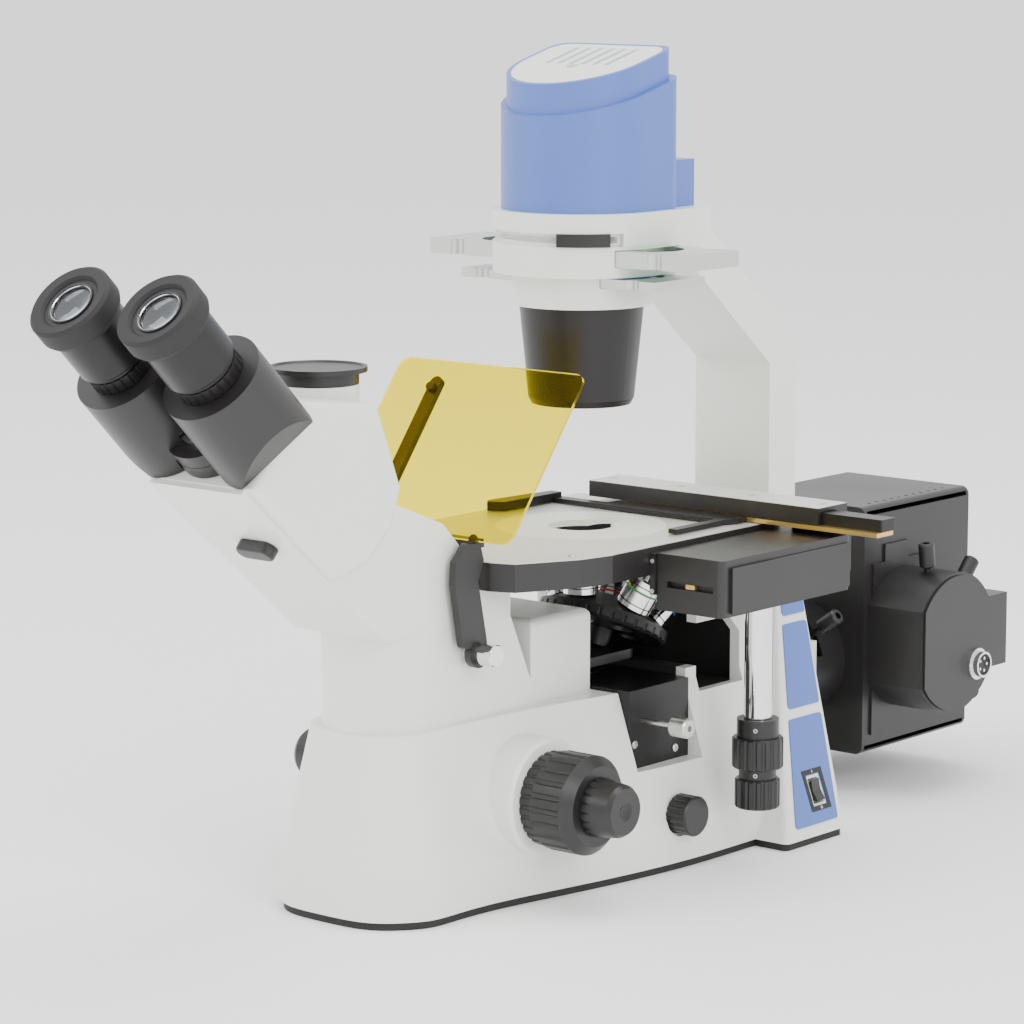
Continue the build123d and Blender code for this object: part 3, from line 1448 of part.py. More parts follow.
# Collector tube behind the base, with the slot of its focusing lever
tube_plane_rear = Plane(origin=(0, base_rear, epi_height), x_dir=(-1, 0, 0), z_dir=(0, 1, 0))
tube_length = house_front - base_rear
with BuildPart() as tube:
    add(turned(tube_plane_rear, (tube_radius - house_wall, 0), (tube_radius + tube_flange, 0),
               (tube_radius + tube_flange, tube_flange_depth),
               (tube_radius, tube_flange_depth + moulded_edge),
               (tube_radius, tube_length), (tube_radius - house_wall, tube_length)))
    with BuildSketch(Plane(origin=(0, lever_station, epi_height), x_dir=(1, 0, 0), z_dir=(0, -1, 0))):
        for angle in range(-focus_swing, focus_swing + 1, swing_step):
            with Locations(Location((0, 0, 0), (0, 0, 1), focus_lever_angle + angle)):
                with Locations((tube_radius, 0)):
                    Rectangle(4 * house_wall, 2 * adjuster_shaft + 2 * slide_gap)
    extrude(amount=adjuster_shaft + slide_gap, both=True, mode=Mode.SUBTRACT)
save(tube, "collector_tube")


def adjuster(plane, sunk):
    """A lamp adjuster: a ribbed knob on a thin shaft, with a socket in its end."""
    with BuildPart() as knob:
        add(turned(plane, (0, -sunk), (adjuster_shaft, -sunk), (adjuster_shaft, adjuster_neck),
                   (adjuster_radius - soft_edge, adjuster_neck), (adjuster_radius, adjuster_neck + soft_edge),
                   (adjuster_radius, adjuster_length - soft_edge),
                   (adjuster_radius - soft_edge, adjuster_length),
                   (adjuster_shaft, adjuster_length), (adjuster_shaft, adjuster_length - adjuster_socket),
                   (0, adjuster_length - adjuster_socket)))
    return knob.part


def radial(centre, out, along, angle, radius):
    """A plane at a radius from a centre, facing away from it at an angle to out."""
    normal = out * cos(radians(angle)) + Vector(0, 0, 1) * sin(radians(angle))
    return Plane(origin=centre + normal * radius, x_dir=along, z_dir=normal)


# Lever that slides the collector lens
lever_plane = radial(Vector(0, lever_station, epi_height), Vector(1, 0, 0), Vector(0, 1, 0),
                     focus_lever_angle,
                     tube_radius + lever_stand)
with BuildPart() as focus_lever:
    add(adjuster(lever_plane, lever_stand + 2 * house_wall))
save(focus_lever, "collector_lever")

# Lamp house: box, access plate on its right side
with BuildPart() as house:
    add(block((-house_half, house_half), (house_front, house_front + house_depth),
              (house_bottom, house_bottom + house_height)))
    fillet(house.edges().filter_by(Axis.Y), radius=house_round)
    add(block((-house_half, house_half), (house_front + house_wall, house_front + house_depth - house_wall),
              (house_bottom + house_wall, house_bottom + house_height - house_wall)),
        mode=Mode.SUBTRACT)
    add(block((house_half - house_wall, house_half), (house_front, house_front + house_depth),
              (house_bottom + house_round, house_bottom + house_height - house_round)))
    add(block((-house_half, house_wall - house_half), (house_front, house_front + house_depth),
              (house_bottom + house_round, house_bottom + house_height - house_round)))
    with BuildSketch(Plane(origin=(0, house_front, epi_height), x_dir=(-1, 0, 0), z_dir=(0, 1, 0))):
        Circle(tube_radius - house_wall)
    extrude(amount=house_wall, mode=Mode.SUBTRACT)
    with BuildSketch(Plane.XY.offset(house_bottom + house_height)):
        with Locations((house_half - house_vent_inset, house_front + house_depth / 2)):
            with GridLocations(1, house_vent_pitch, 1, house_vents):
                Circle(house_vent)
    extrude(amount=-house_wall, mode=Mode.SUBTRACT)
drum_plane = along_x(house_half, socket_y, socket_z)
with BuildPart() as access:
    with BuildSketch(along_x(house_half, 0, 0)):
        with BuildLine():
            Polyline(*access_outline, close=True)
        make_face()
    extrude(amount=cover_thickness)
    with BuildSketch(drum_plane):
        Circle(socket_radius)
    extrude(amount=cover_thickness, mode=Mode.SUBTRACT)
with BuildPart() as house_group:
    add(house.part)
    add(access.part)
save(house_group, "lamp_house")

# Lamp socket cover, a drum with flat sides
with BuildPart() as drum:
    with BuildSketch(drum_plane):
        Circle(socket_radius)
        Rectangle(2 * socket_flat, 3 * socket_radius, mode=Mode.INTERSECT)
    extrude(amount=socket_depth)
    with BuildSketch(drum_plane):
        Circle(socket_radius - 2 * house_wall)
        Rectangle(2 * (socket_flat - house_wall), 3 * socket_radius, mode=Mode.INTERSECT)
    extrude(amount=socket_depth - house_wall, mode=Mode.SUBTRACT)
    add(block((house_half, house_half + rear_box_width),
              (socket_y + socket_flat - house_wall, socket_y + socket_flat + rear_box_depth),
              (rear_box_bottom, rear_box_top)))
    with BuildSketch(drum_plane.offset(socket_depth)):
        Circle(socket_radius - moulded_edge)
        Rectangle(2 * (socket_flat - moulded_edge), 3 * socket_radius, mode=Mode.INTERSECT)
    extrude(amount=cover_thickness)
    drum_centre = Vector(house_half + adjuster_station, socket_y, socket_z)
    for angle in adjuster_angles:
        with BuildSketch(radial(drum_centre, Vector(0, 1, 0), Vector(1, 0, 0), angle, 0)):
            Circle(adjuster_shaft + running)
        extrude(amount=socket_radius + soft_edge, mode=Mode.SUBTRACT)
save(drum, "socket_cover")
for name, angle in zip(("top", "upper", "lower"), adjuster_angles):
    with BuildPart() as knob:
        add(adjuster(radial(drum_centre, Vector(0, 1, 0), Vector(1, 0, 0), angle, socket_radius + slide_gap),
                     adjuster_sunk))
    save(knob, f"lamp_adjuster_{name}")

# Round connector for the lamp supply, with its pins
connector_plane = along_x(house_half + socket_depth + cover_thickness, connector_y, connector_z)
with BuildPart() as connector:
    mouth_radius = connector_radius - connector_wall
    add(turned(connector_plane, (0, 0), (connector_radius + moulded_edge, 0),
               (connector_radius + moulded_edge, moulded_edge), (connector_radius, moulded_edge),
               (connector_radius, connector_length), (mouth_radius, connector_length),
               (mouth_radius, connector_floor), (0, connector_floor)))
    with BuildSketch(connector_plane.offset(connector_floor)):
        with PolarLocations(connector_radius / 2, connector_pins):
            Circle(connector_pin)
    extrude(amount=connector_length - connector_floor - soft_edge)
save(connector, "lamp_connector")

# Tilting shield over the stage
shield_plane = Plane(origin=(0, shield_foot_y, shield_foot_z), x_dir=(1, 0, 0),
                     z_dir=(0, -sin(radians(shield_tilt)), cos(radians(shield_tilt))))
with BuildPart() as shield:
    with BuildSketch(shield_plane):
        with Locations((0, shield_height / 2)):
            RectangleRounded(shield_width, shield_height, shield_round)
    extrude(amount=shield_thickness)
save(shield, "shield_panel")
hoop_top = shield_foot_z + hoop_foot_gap
bar_y = shield_foot_y + hoop_inset
hoop_perp = -shield_plane.to_local_coords(Vector(0, bar_y, hoop_top - hoop_bar / 2)).Z
hoop_along = shield_plane.to_local_coords(Vector(0, bar_y, hoop_top - hoop_bar / 2)).Y
with BuildPart() as hoop:
    add(block((-hoop_half - hoop_bar / 2, hoop_half + hoop_bar / 2),
              (bar_y - hoop_width / 2, bar_y + hoop_width / 2),
              (hoop_top - hoop_bar, hoop_top)))
    for side in (1, -1):
        with BuildSketch(along_x(side * hoop_half, hoop_y, hoop_z)) as leg:
            with BuildLine():
                Polyline(*leg_profile, close=True)
            make_face()
            fillet(leg.vertices(), radius=leg_round)
            Circle(hoop_eye)
            Circle(thumb_shaft + running, mode=Mode.SUBTRACT)
        extrude(amount=hoop_bar / 2, both=True)
    with BuildSketch(shield_plane.offset(-hoop_perp)):
        with Locations((-hoop_half, (handle_top + handle_foot) / 2)):
            SlotOverall(handle_top - handle_foot, handle_width, rotation=90)
    extrude(amount=handle_thickness / 2, both=True)
    with BuildSketch(shield_plane.offset(-hoop_perp)):
        with Locations((-hoop_half, handle_top - handle_width), (-hoop_half, hoop_along),
                       (hoop_half, hoop_along)):
            Circle(thumb_shaft)
    extrude(amount=hoop_perp)
save(hoop, "shield_frame")
with BuildPart() as thumb:
    for side in (1, -1):
        face = Plane(origin=(side * column_half, hoop_y, hoop_z), x_dir=(0, 1, 0), z_dir=(side, 0, 0))
        leg_gap = hoop_half - column_half - hoop_bar / 2
        outer = leg_gap + hoop_bar
        head_start = outer + thumb_neck_length
        head_end = outer + thumb_length
        add(turned(face, (0, -thumb_depth), (thumb_shaft, -thumb_depth), (thumb_shaft, slide_gap),
                   (thumb_collar, slide_gap), (thumb_collar, leg_gap), (thumb_shaft, leg_gap),
                   (thumb_shaft, outer),
                   (thumb_neck, outer), (thumb_neck, head_start), (thumb_radius - thumb_edge, head_start),
                   (thumb_radius, head_start + thumb_edge), (thumb_radius, head_end - thumb_edge),
                   (thumb_radius - thumb_edge, head_end), (0, head_end)))
save(thumb, "thumb_screws")

# Mains inlet at the back of the base
inlet_plane = Plane(origin=(0, base_rear, inlet_z), x_dir=(-1, 0, 0), z_dir=(0, 1, 0))
with BuildPart() as inlet:
    with BuildSketch(inlet_plane.offset(-inlet_depth)):
        RectangleRounded(inlet_width, inlet_height, inlet_rim)
    extrude(amount=inlet_depth)
    with BuildSketch(inlet_plane):
        RectangleRounded(inlet_width + 2 * inlet_rim, inlet_height + 2 * inlet_rim, inlet_rim)
    extrude(amount=inlet_flange)
    with BuildSketch(inlet_plane.offset(inlet_flange)):
        with BuildLine():
            Polyline(*[(x * inlet_width / 2, y * inlet_height / 2) for x, y in inlet_shape], close=True)
        make_face()
    extrude(amount=-inlet_depth, mode=Mode.SUBTRACT)
    with BuildSketch(inlet_plane.offset(inlet_flange - inlet_depth)):
        with Locations(*inlet_pins):
            Rectangle(inlet_pin_width, inlet_pin_height)
    extrude(amount=inlet_depth - inlet_pin_clear)
save(inlet, "mains_inlet")


def lens(plane, radius, bulge):
    """A plano-convex lens, flat towards the plane's origin."""
    upright = Plane(origin=plane.origin, x_dir=plane.x_dir, z_dir=-plane.y_dir)
    with BuildPart() as glass_piece:
        with BuildSketch(upright):
            with BuildLine():
                Polyline((0, lens_edge + bulge), (0, 0), (radius, 0), (radius, lens_edge))
                TangentArc((0, lens_edge + bulge), (radius, lens_edge), tangent=(1, 0),
                           tangent_from_first=True)
            make_face()
        revolve(axis=Axis(plane.origin, plane.z_dir))
    return glass_piece.part


# Glass of the light path: condenser lens, field lens and lamp collector
with BuildPart() as glass:
    add(lens(Plane.XY.offset(condenser_bottom + condenser_lens_rise), condenser_lens_radius, condenser_bulge))
    add(lens(Plane.XY.offset(collar_top - field_lens_drop), ring_bore, field_bulge))
    add(lens(Plane(origin=(0, house_front - collector_lens_inset, epi_height), x_dir=(-1, 0, 0),
                   z_dir=(0, 1, 0)),
             tube_radius - house_wall, collector_bulge))
save(glass, "light_path_lenses")
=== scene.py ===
import logging
import math
from dataclasses import dataclass
from enum import Enum
from typing import Sequence

import bpy
from mathutils import Matrix, Vector


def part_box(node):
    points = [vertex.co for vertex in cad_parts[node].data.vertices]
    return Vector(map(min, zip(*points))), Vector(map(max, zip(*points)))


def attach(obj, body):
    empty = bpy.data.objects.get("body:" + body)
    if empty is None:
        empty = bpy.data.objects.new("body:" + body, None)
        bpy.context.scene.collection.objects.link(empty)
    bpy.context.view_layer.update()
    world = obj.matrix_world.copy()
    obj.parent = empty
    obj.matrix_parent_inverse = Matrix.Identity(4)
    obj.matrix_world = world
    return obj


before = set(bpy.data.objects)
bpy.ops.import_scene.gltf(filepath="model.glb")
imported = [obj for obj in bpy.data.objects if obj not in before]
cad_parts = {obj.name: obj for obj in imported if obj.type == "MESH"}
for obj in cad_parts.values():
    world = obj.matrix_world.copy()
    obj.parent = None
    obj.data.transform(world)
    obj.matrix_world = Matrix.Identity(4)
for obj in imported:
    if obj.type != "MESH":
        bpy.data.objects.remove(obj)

logging.basicConfig(level=logging.INFO, format="%(message)s")
LOG = logging.getLogger("microscope")
MM = 0.001
UP = Vector((0, 0, 1))
SMOOTH_ANGLE = math.radians(32)

# Shader values shared by all finishes
COAT_ROUGHNESS = 0.2
GRAIN_DETAIL = 3.0
BUMP_STRENGTH = 0.6
MOTTLE_SCALE = 14.0
MOTTLE_DETAIL = 2.0
GLOSS_SPREAD = 0.12

# The nosepiece well, whose surfaces are painted dark as shade, in metres
WELL_HALF = 0.0543
WELL_FRONT = -0.0335
WELL_REAR = 0.0953

# The leaning side face that carries the switch, and the switch opening, in millimetres
TOWER_FOOT = 114.0
TOWER_HEIGHT = 157.0
TOWER_LEAN = 58.5
FOOT_HEIGHT = 5.0
SWITCH_SIZE = (15.0, 21.0)

# The two tube mouths in millimetres, and the way that the eyepieces point
EYE_HALF = 35.0
EYE_AXIS = Vector((0, -1, 1))
MOUTH = (-374.13, 348.13)

# A screw head's sizes as shares of its radius
HEAD_PROUD = 0.35
HEAD_SOCKET = 0.5
HEAD_CROWN = 0.88
SOCKET_DRAFT = 0.92


class Body(str, Enum):
    """The moving bodies of the CAD model that visual pieces ride on."""

    STAND = "stand"
    Y_CARRIAGE = "y_carriage"
    Y_DRIVE = "y_drive"
    X_DRIVE = "x_drive"
    UPPER_FILTER = "upper_filter"
    LOWER_FILTER = "lower_filter"
    NOSEPIECE = "nosepiece"
    RIGHT_TUBE = "right_tube"
    LEFT_TUBE = "left_tube"


@dataclass(frozen=True)
class Finish:
    """One surface finish.

    Attributes:
        name: material name.
        color: linear base colour.
        roughness: mean roughness.
        metallic: 1 for bare metal.
        coat: clear coat weight.
        grain: scale of the surface grain, in cells a metre; 0 for none.
        depth: height of the grain in metres.
        mottle: how far the colour wanders, as a share.
        transmission: share of light let through.
        ior: refractive index.
        stretch: stretch of the grain along X, Y and Z, for brushing.
    """

    name: str
    color: tuple[float, float, float]
    roughness: float = 0.5
    metallic: float = 0.0
    coat: float = 0.0
    grain: float = 0.0
    depth: float = 0.00002
    mottle: float = 0.03
    transmission: float = 0.0
    ior: float = 1.5
    stretch: tuple[float, float, float] = (1.0, 1.0, 1.0)

    def material(self) -> bpy.types.Material:
        """Builds the finish, or returns it if it is already there.

        Returns:
            The Blender material.
        """
        known = bpy.data.materials.get(self.name)
        if known:
            return known
        made, tree, output = empty_material(self.name)
        shader = self.add_shader(tree)
        tree.links.new(shader.outputs["BSDF"], output.inputs["Surface"])
        return made

    def add_shader(self, tree: bpy.types.NodeTree) -> bpy.types.Node:
        """Adds this finish's shader to a tree.

        Args:
            tree: the material's node tree.

        Returns:
            The Principled shader.
        """
        shader = tree.nodes.new("ShaderNodeBsdfPrincipled")
        shader.inputs["Base Color"].default_value = (*self.color, 1.0)
        shader.inputs["Metallic"].default_value = self.metallic
        shader.inputs["Roughness"].default_value = self.roughness
        shader.inputs["IOR"].default_value = self.ior
        shader.inputs["Coat Weight"].default_value = self.coat
        shader.inputs["Coat Roughness"].default_value = COAT_ROUGHNESS
        shader.inputs["Transmission Weight"].default_value = self.transmission
        if self.grain:
            self._add_grain(tree, shader)
        return shader

    def _add_grain(self, tree: bpy.types.NodeTree, shader: bpy.types.Node) -> None:
        """Adds the fine grain, the uneven gloss and the faint mottle.

        Args:
            tree: the material's node tree.
            shader: its main shader.
        """
        place = tree.nodes.new("ShaderNodeTexCoord")
        mapping = tree.nodes.new("ShaderNodeMapping")
        mapping.inputs["Scale"].default_value = self.stretch
        tree.links.new(place.outputs["Object"], mapping.inputs["Vector"])
        fine = tree.nodes.new("ShaderNodeTexNoise")
        fine.inputs["Scale"].default_value = self.grain
        fine.inputs["Detail"].default_value = GRAIN_DETAIL
        tree.links.new(mapping.outputs["Vector"], fine.inputs["Vector"])
        bump = tree.nodes.new("ShaderNodeBump")
        bump.inputs["Strength"].default_value = BUMP_STRENGTH
        bump.inputs["Distance"].default_value = self.depth
        tree.links.new(fine.outputs["Fac"], bump.inputs["Height"])
        tree.links.new(bump.outputs["Normal"], shader.inputs["Normal"])
        broad = tree.nodes.new("ShaderNodeTexNoise")
        broad.inputs["Scale"].default_value = MOTTLE_SCALE
        broad.inputs["Detail"].default_value = MOTTLE_DETAIL
        tree.links.new(place.outputs["Object"], broad.inputs["Vector"])
        gloss = tree.nodes.new("ShaderNodeMapRange")
        gloss.inputs["To Min"].default_value = self.roughness * (1 - GLOSS_SPREAD)
        gloss.inputs["To Max"].default_value = min(1.0, self.roughness * (1 + GLOSS_SPREAD))
        tree.links.new(broad.outputs["Fac"], gloss.inputs["Value"])
        tree.links.new(gloss.outputs["Result"], shader.inputs["Roughness"])
        tone = tree.nodes.new("ShaderNodeMix")
        tone.data_type = "RGBA"
        tone.inputs["A"].default_value = (*(c * (1 - self.mottle) for c in self.color), 1.0)
        tone.inputs["B"].default_value = (*(min(1.0, c * (1 + self.mottle)) for c in self.color), 1.0)
        tree.links.new(broad.outputs["Fac"], tone.inputs["Factor"])
        tree.links.new(tone.outputs["Result"], shader.inputs["Base Color"])


def empty_material(name: str) -> tuple[bpy.types.Material, bpy.types.NodeTree, bpy.types.Node]:
    """Makes a material with only an output node.

    Args:
        name: material name.

    Returns:
        The material, its tree and its output node.
    """
    made = bpy.data.materials.new(name)
    made.use_nodes = True
    tree = made.node_tree
    tree.nodes.clear()
    return made, tree, tree.nodes.new("ShaderNodeOutputMaterial")


@dataclass(frozen=True)
class ZonedFinish:
    """One finish outside a box in the frame, another inside it.

    Attributes:
        name: material name.
        outside: finish of the piece.
        inside: finish within the box.
        low: lowest corner of the box in metres.
        high: highest corner of the box in metres.
    """

    name: str
    outside: Finish
    inside: Finish
    low: tuple[float, float, float]
    high: tuple[float, float, float]

    def material(self) -> bpy.types.Material:
        """Builds the two-zone material.

        Returns:
            The Blender material.
        """
        made, tree, output = empty_material(self.name)
        centre = [(a + b) / 2 for a, b in zip(self.low, self.high)]
        place = tree.nodes.new("ShaderNodeTexCoord")
        shift = tree.nodes.new("ShaderNodeVectorMath")
        shift.operation = "SUBTRACT"
        shift.inputs[1].default_value = centre
        tree.links.new(place.outputs["Object"], shift.inputs[0])
        size = tree.nodes.new("ShaderNodeVectorMath")
        size.operation = "ABSOLUTE"
        tree.links.new(shift.outputs["Vector"], size.inputs[0])
        split = tree.nodes.new("ShaderNodeSeparateXYZ")
        tree.links.new(size.outputs["Vector"], split.inputs["Vector"])
        mask = None
        for axis, (low, high) in zip("XYZ", zip(self.low, self.high)):
            near = tree.nodes.new("ShaderNodeMath")
            near.operation = "LESS_THAN"
            near.inputs[1].default_value = (high - low) / 2
            tree.links.new(split.outputs[axis], near.inputs[0])
            if mask is None:
                mask = near
                continue
            both = tree.nodes.new("ShaderNodeMath")
            both.operation = "MULTIPLY"
            tree.links.new(mask.outputs["Value"], both.inputs[0])
            tree.links.new(near.outputs["Value"], both.inputs[1])
            mask = both
        blend = tree.nodes.new("ShaderNodeMixShader")
        tree.links.new(mask.outputs["Value"], blend.inputs["Fac"])
        tree.links.new(self.outside.add_shader(tree).outputs["BSDF"], blend.inputs[1])
        tree.links.new(self.inside.add_shader(tree).outputs["BSDF"], blend.inputs[2])
        tree.links.new(blend.outputs["Shader"], output.inputs["Surface"])
        return made


class Look(Enum):
    """Every finish on the microscope, and one near-black of painted shade."""

    WHITE = Finish("white enamel", (0.82, 0.845, 0.79), 0.34, coat=0.25, grain=2600.0, depth=0.00001,
                   mottle=0.012)
    BLUE = Finish("blue enamel", (0.085, 0.16, 0.50), 0.38, coat=0.15, grain=2600.0, depth=0.00001)
    BLACK = Finish("black satin paint", (0.013, 0.0115, 0.012), 0.42, coat=0.1, grain=3200.0, mottle=0.08)
    ANODISED = Finish("black anodised", (0.013, 0.0115, 0.012), 0.36, metallic=0.3, grain=4000.0,
                      depth=0.00001, mottle=0.08)
    PLASTIC = Finish("black moulded plastic", (0.0115, 0.0105, 0.011), 0.38, grain=3600.0, mottle=0.08)
    RUBBER = Finish("black rubber", (0.012, 0.012, 0.0125), 0.68, grain=3000.0, depth=0.00003, mottle=0.1)
    CHROME = Finish("chrome", (0.80, 0.79, 0.77), 0.14, metallic=1.0, grain=900.0, depth=0.000004)
    STEEL = Finish("brushed steel", (0.62, 0.61, 0.59), 0.3, metallic=1.0, grain=1500.0, depth=0.00001,
                   stretch=(0.05, 1.0, 1.0))
    SILVER = Finish("clear anodised", (0.66, 0.66, 0.645), 0.3, metallic=0.9, grain=2400.0, depth=0.00001)
    BRASS = Finish("brass", (0.80, 0.53, 0.17), 0.26, metallic=1.0, grain=1800.0, depth=0.00001,
                   stretch=(0.1, 1.0, 1.0))
    AMBER = Finish("amber acrylic", (1.0, 0.80, 0.02), 0.03, transmission=1.0, ior=1.12)
    GLASS = Finish("coated glass", (0.82, 0.88, 0.95), 0.02, transmission=1.0, ior=1.45)
    # Near-black that paints the shade in the nosepiece well, in the eyepiece tubes and in the objective
    # grooves
    DARK = Finish("painted shade", (0.006, 0.006, 0.006), 0.7, grain=3000.0, mottle=0.1)
    MARK = Finish("printed mark", (0.75, 0.76, 0.74), 0.5)
    FLOOR = Finish("studio floor", (0.97, 0.97, 0.97), 0.8, grain=60.0, depth=0.00001, mottle=0.005)
    TOP = Finish("silvered stage top", (0.72, 0.73, 0.71), 0.34, metallic=0.55, grain=2200.0, depth=0.00001,
                 stretch=(1.0, 0.1, 1.0))
    BLUE_FILTER = Finish("blue filter glass", (0.25, 0.5, 0.95), 0.02, transmission=1.0, ior=1.4)
    GREEN_FILTER = Finish("green filter glass", (0.3, 0.8, 0.4), 0.02, transmission=1.0, ior=1.4)
    GREY_FILTER = Finish("grey filter glass", (0.45, 0.45, 0.47), 0.02, transmission=1.0, ior=1.4)
    RED_BAND = Finish("red band", (0.5, 0.02, 0.015), 0.4)
    YELLOW_BAND = Finish("yellow band", (0.75, 0.5, 0.02), 0.4)
    GREEN_BAND = Finish("green band", (0.03, 0.3, 0.06), 0.4)
    BLUE_BAND = Finish("blue band", (0.03, 0.12, 0.5), 0.4)


NODE_LOOKS: dict[Look, tuple[str, ...]] = {
    Look.WHITE: ("base_casting", "front_column", "neck_casting", "prism_housing", "photo_port", "pillar",
                 "lamp_collar", "slider_rings", "vent_plate", "stage_insert"),
    Look.BLUE: ("lamp_shell", "side_panels"),
    Look.BLACK: ("stage_plate", "collector_tube", "lamp_house", "socket_cover", "drive_box", "cross_rail",
                 "nosepiece_carriage", "turret", "tube_arm_right", "tube_arm_left", "shield_frame"),
    Look.ANODISED: ("filter_box", "condenser_tube", "rack_end_block", "specimen_holder", "eyepiece_right",
                    "eyepiece_left", "diopter_ring_right", "diopter_ring_left"),
    Look.PLASTIC: ("y_knob", "x_knob", "coarse_knobs", "fine_knobs", "tension_ring", "brightness_knob",
                   "power_rocker", "beam_lever", "port_cap", "aperture_lever", "lamp_adjuster_top",
                   "lamp_adjuster_upper", "lamp_adjuster_lower", "collector_lever", "mains_inlet"),
    Look.RUBBER: ("foot_strip", "eyecup_right", "eyecup_left"),
    Look.CHROME: ("lamp_connector", "knob_sleeve", "objectives", "thumb_screws"),
    Look.STEEL: ("filter_slider", "binocular_spigot"),
    Look.SILVER: ("upper_slider", "lower_slider"),
    Look.BRASS: ("rack_strip",),
    Look.AMBER: ("shield_panel",),
    Look.GLASS: ("light_path_lenses",),
}


def zoned_finishes() -> dict[str, ZonedFinish]:
    """Gives the nodes that have a second finish, or painted shade, with its zone taken from the frame.

    Returns:
        The finish of each such node.
    """
    skin = 0.0004
    far = 1.0
    stage_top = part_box("stage_plate")[1].z
    rail_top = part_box("cross_rail")[1].z
    well_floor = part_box("filter_box")[0].z - skin
    return {
        "stage_plate": ZonedFinish("stage plate", Look.BLACK.value, Look.TOP.value,
                                   (-far, -far, stage_top - skin), (far, far, stage_top + skin)),
        "cross_rail": ZonedFinish("cross rail", Look.BLACK.value, Look.TOP.value,
                                  (-far, -far, rail_top - skin), (far, far, rail_top + skin)),
        # The well's inside is painted near-black: painted shade in the recess of the white casting
        "base_casting": ZonedFinish("base casting", Look.WHITE.value, Look.DARK.value,
                                    (-WELL_HALF, WELL_FRONT, well_floor), (WELL_HALF, WELL_REAR, stage_top)),
    }


def dress_nodes() -> None:
    """Gives every CAD node its detailed finish."""
    zoned = zoned_finishes()
    for look, names in NODE_LOOKS.items():
        for name in names:
            finish = zoned.get(name, look.value)
            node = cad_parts[name]
            node.data.materials.clear()
            node.data.materials.append(finish.material())
            LOG.info("dressed %s: %s", name, finish.name)


@dataclass(frozen=True)
class Spot:
    """A place on the instrument and the direction that a piece there faces.

    Attributes:
        place: the point, in metres.
        axis: the direction, of any length.
        across: direction of the piece's own X, where that matters.
    """

    place: Vector
    axis: Vector
    across: Vector | None = None

    def matrix(self) -> Matrix:
        """Turns +Z onto the direction and moves the origin to the point.

        Returns:
            The placing matrix.
        """
        if self.across is None:
            return Matrix.Translation(self.place) @ self.axis.to_track_quat("Z", "Y").to_matrix().to_4x4()
        upright = self.axis.normalized()
        side = self.across.normalized()
        turn = Matrix((side, upright.cross(side), upright)).transposed()
        return Matrix.Translation(self.place) @ turn.to_4x4()


def put(obj: bpy.types.Object, name: str, look: Look, spot: Spot) -> bpy.types.Object:
    """Names a new piece, dresses it and moves its place into its mesh.

    Args:
        obj: the new object, built about the origin.
        name: its name.
        look: its finish.
        spot: where it goes.

    Returns:
        The same object.
    """
    obj.name = name
    obj.data.materials.clear()
    obj.data.materials.append(look.value.material())
    obj.matrix_world = spot.matrix()
    select_only([obj])
    bpy.ops.object.transform_apply(location=True, rotation=True, scale=True)
    LOG.info("made %s: %s", name, look.value.name)
    return obj


def select_only(objects: Sequence[bpy.types.Object]) -> None:
    """Selects these objects and nothing else.

    Args:
        objects: what to select; the first becomes active.
    """
    bpy.ops.object.select_all(action="DESELECT")
    for obj in objects:
        obj.select_set(True)
    bpy.context.view_layer.objects.active = objects[0]


def turned(profile: Sequence[tuple[float, float]], sides: int = 48) -> bpy.types.Object:
    """Turns a closed piece about Z by extruding and resizing a disc.

    Args:
        profile: (radius, height) pairs in metres from the first end to the last.
        sides: number of sides.

    Returns:
        The new object, smooth where its steps are small.
    """
    bpy.ops.object.select_all(action="DESELECT")
    radius, height = profile[0]
    bpy.ops.mesh.primitive_circle_add(vertices=sides, radius=radius, fill_type="NGON",
                                      location=(0, 0, height))
    bpy.ops.object.transform_apply(location=True, rotation=False, scale=False)
    bpy.ops.object.mode_set(mode="EDIT")
    bpy.ops.mesh.select_all(action="SELECT")
    for next_radius, next_height in profile[1:]:
        bpy.ops.mesh.extrude_region_move(TRANSFORM_OT_translate={"value": (0, 0, next_height - height)})
        share = next_radius / radius
        bpy.ops.transform.resize(value=(share, share, 1), center_override=(0, 0, next_height))
        radius, height = next_radius, next_height
    bpy.ops.mesh.select_all(action="SELECT")
    bpy.ops.mesh.normals_make_consistent(inside=False)
    bpy.ops.object.mode_set(mode="OBJECT")
    bpy.ops.object.shade_smooth_by_angle(angle=SMOOTH_ANGLE)
    return bpy.context.object


def band(radius: float, width: float, wall: float, sides: int = 64) -> bpy.types.Object:
    """Makes an open ring round Z with its lower edge at the origin.

    Args:
        radius: outer radius.
        width: height along Z.
        wall: thickness inwards.
        sides: number of sides.

    Returns:
        The new object.
    """
    bpy.ops.object.select_all(action="DESELECT")
    bpy.ops.mesh.primitive_cylinder_add(vertices=sides, radius=radius, depth=width, end_fill_type="NOTHING",
                                        location=(0, 0, width / 2))
    bpy.ops.object.transform_apply(location=True, rotation=False, scale=False)
    thick = bpy.context.object.modifiers.new("wall", "SOLIDIFY")
    thick.thickness = wall
    bpy.ops.object.modifier_apply(modifier=thick.name)
    bpy.ops.object.shade_smooth_by_angle(angle=SMOOTH_ANGLE)
    return bpy.context.object


def box_piece(width: float, depth: float, height: float, edge: float = 0.0) -> bpy.types.Object:
    """Makes a box on the origin with broken edges.

    Args:
        width: size along X.
        depth: size along Y.
        height: size along Z, upwards from the origin.
        edge: width of the broken edge.

    Returns:
        The new object.
    """
    bpy.ops.object.select_all(action="DESELECT")
    bpy.ops.mesh.primitive_cube_add(size=1.0, location=(0, 0, height / 2), scale=(width, depth, height))
    bpy.ops.object.transform_apply(location=True, rotation=False, scale=True)
    if edge:
        bevel = bpy.context.object.modifiers.new("edge", "BEVEL")
        bevel.width = edge
        bevel.segments = 2
        bpy.ops.object.modifier_apply(modifier=bevel.name)
    return bpy.context.object


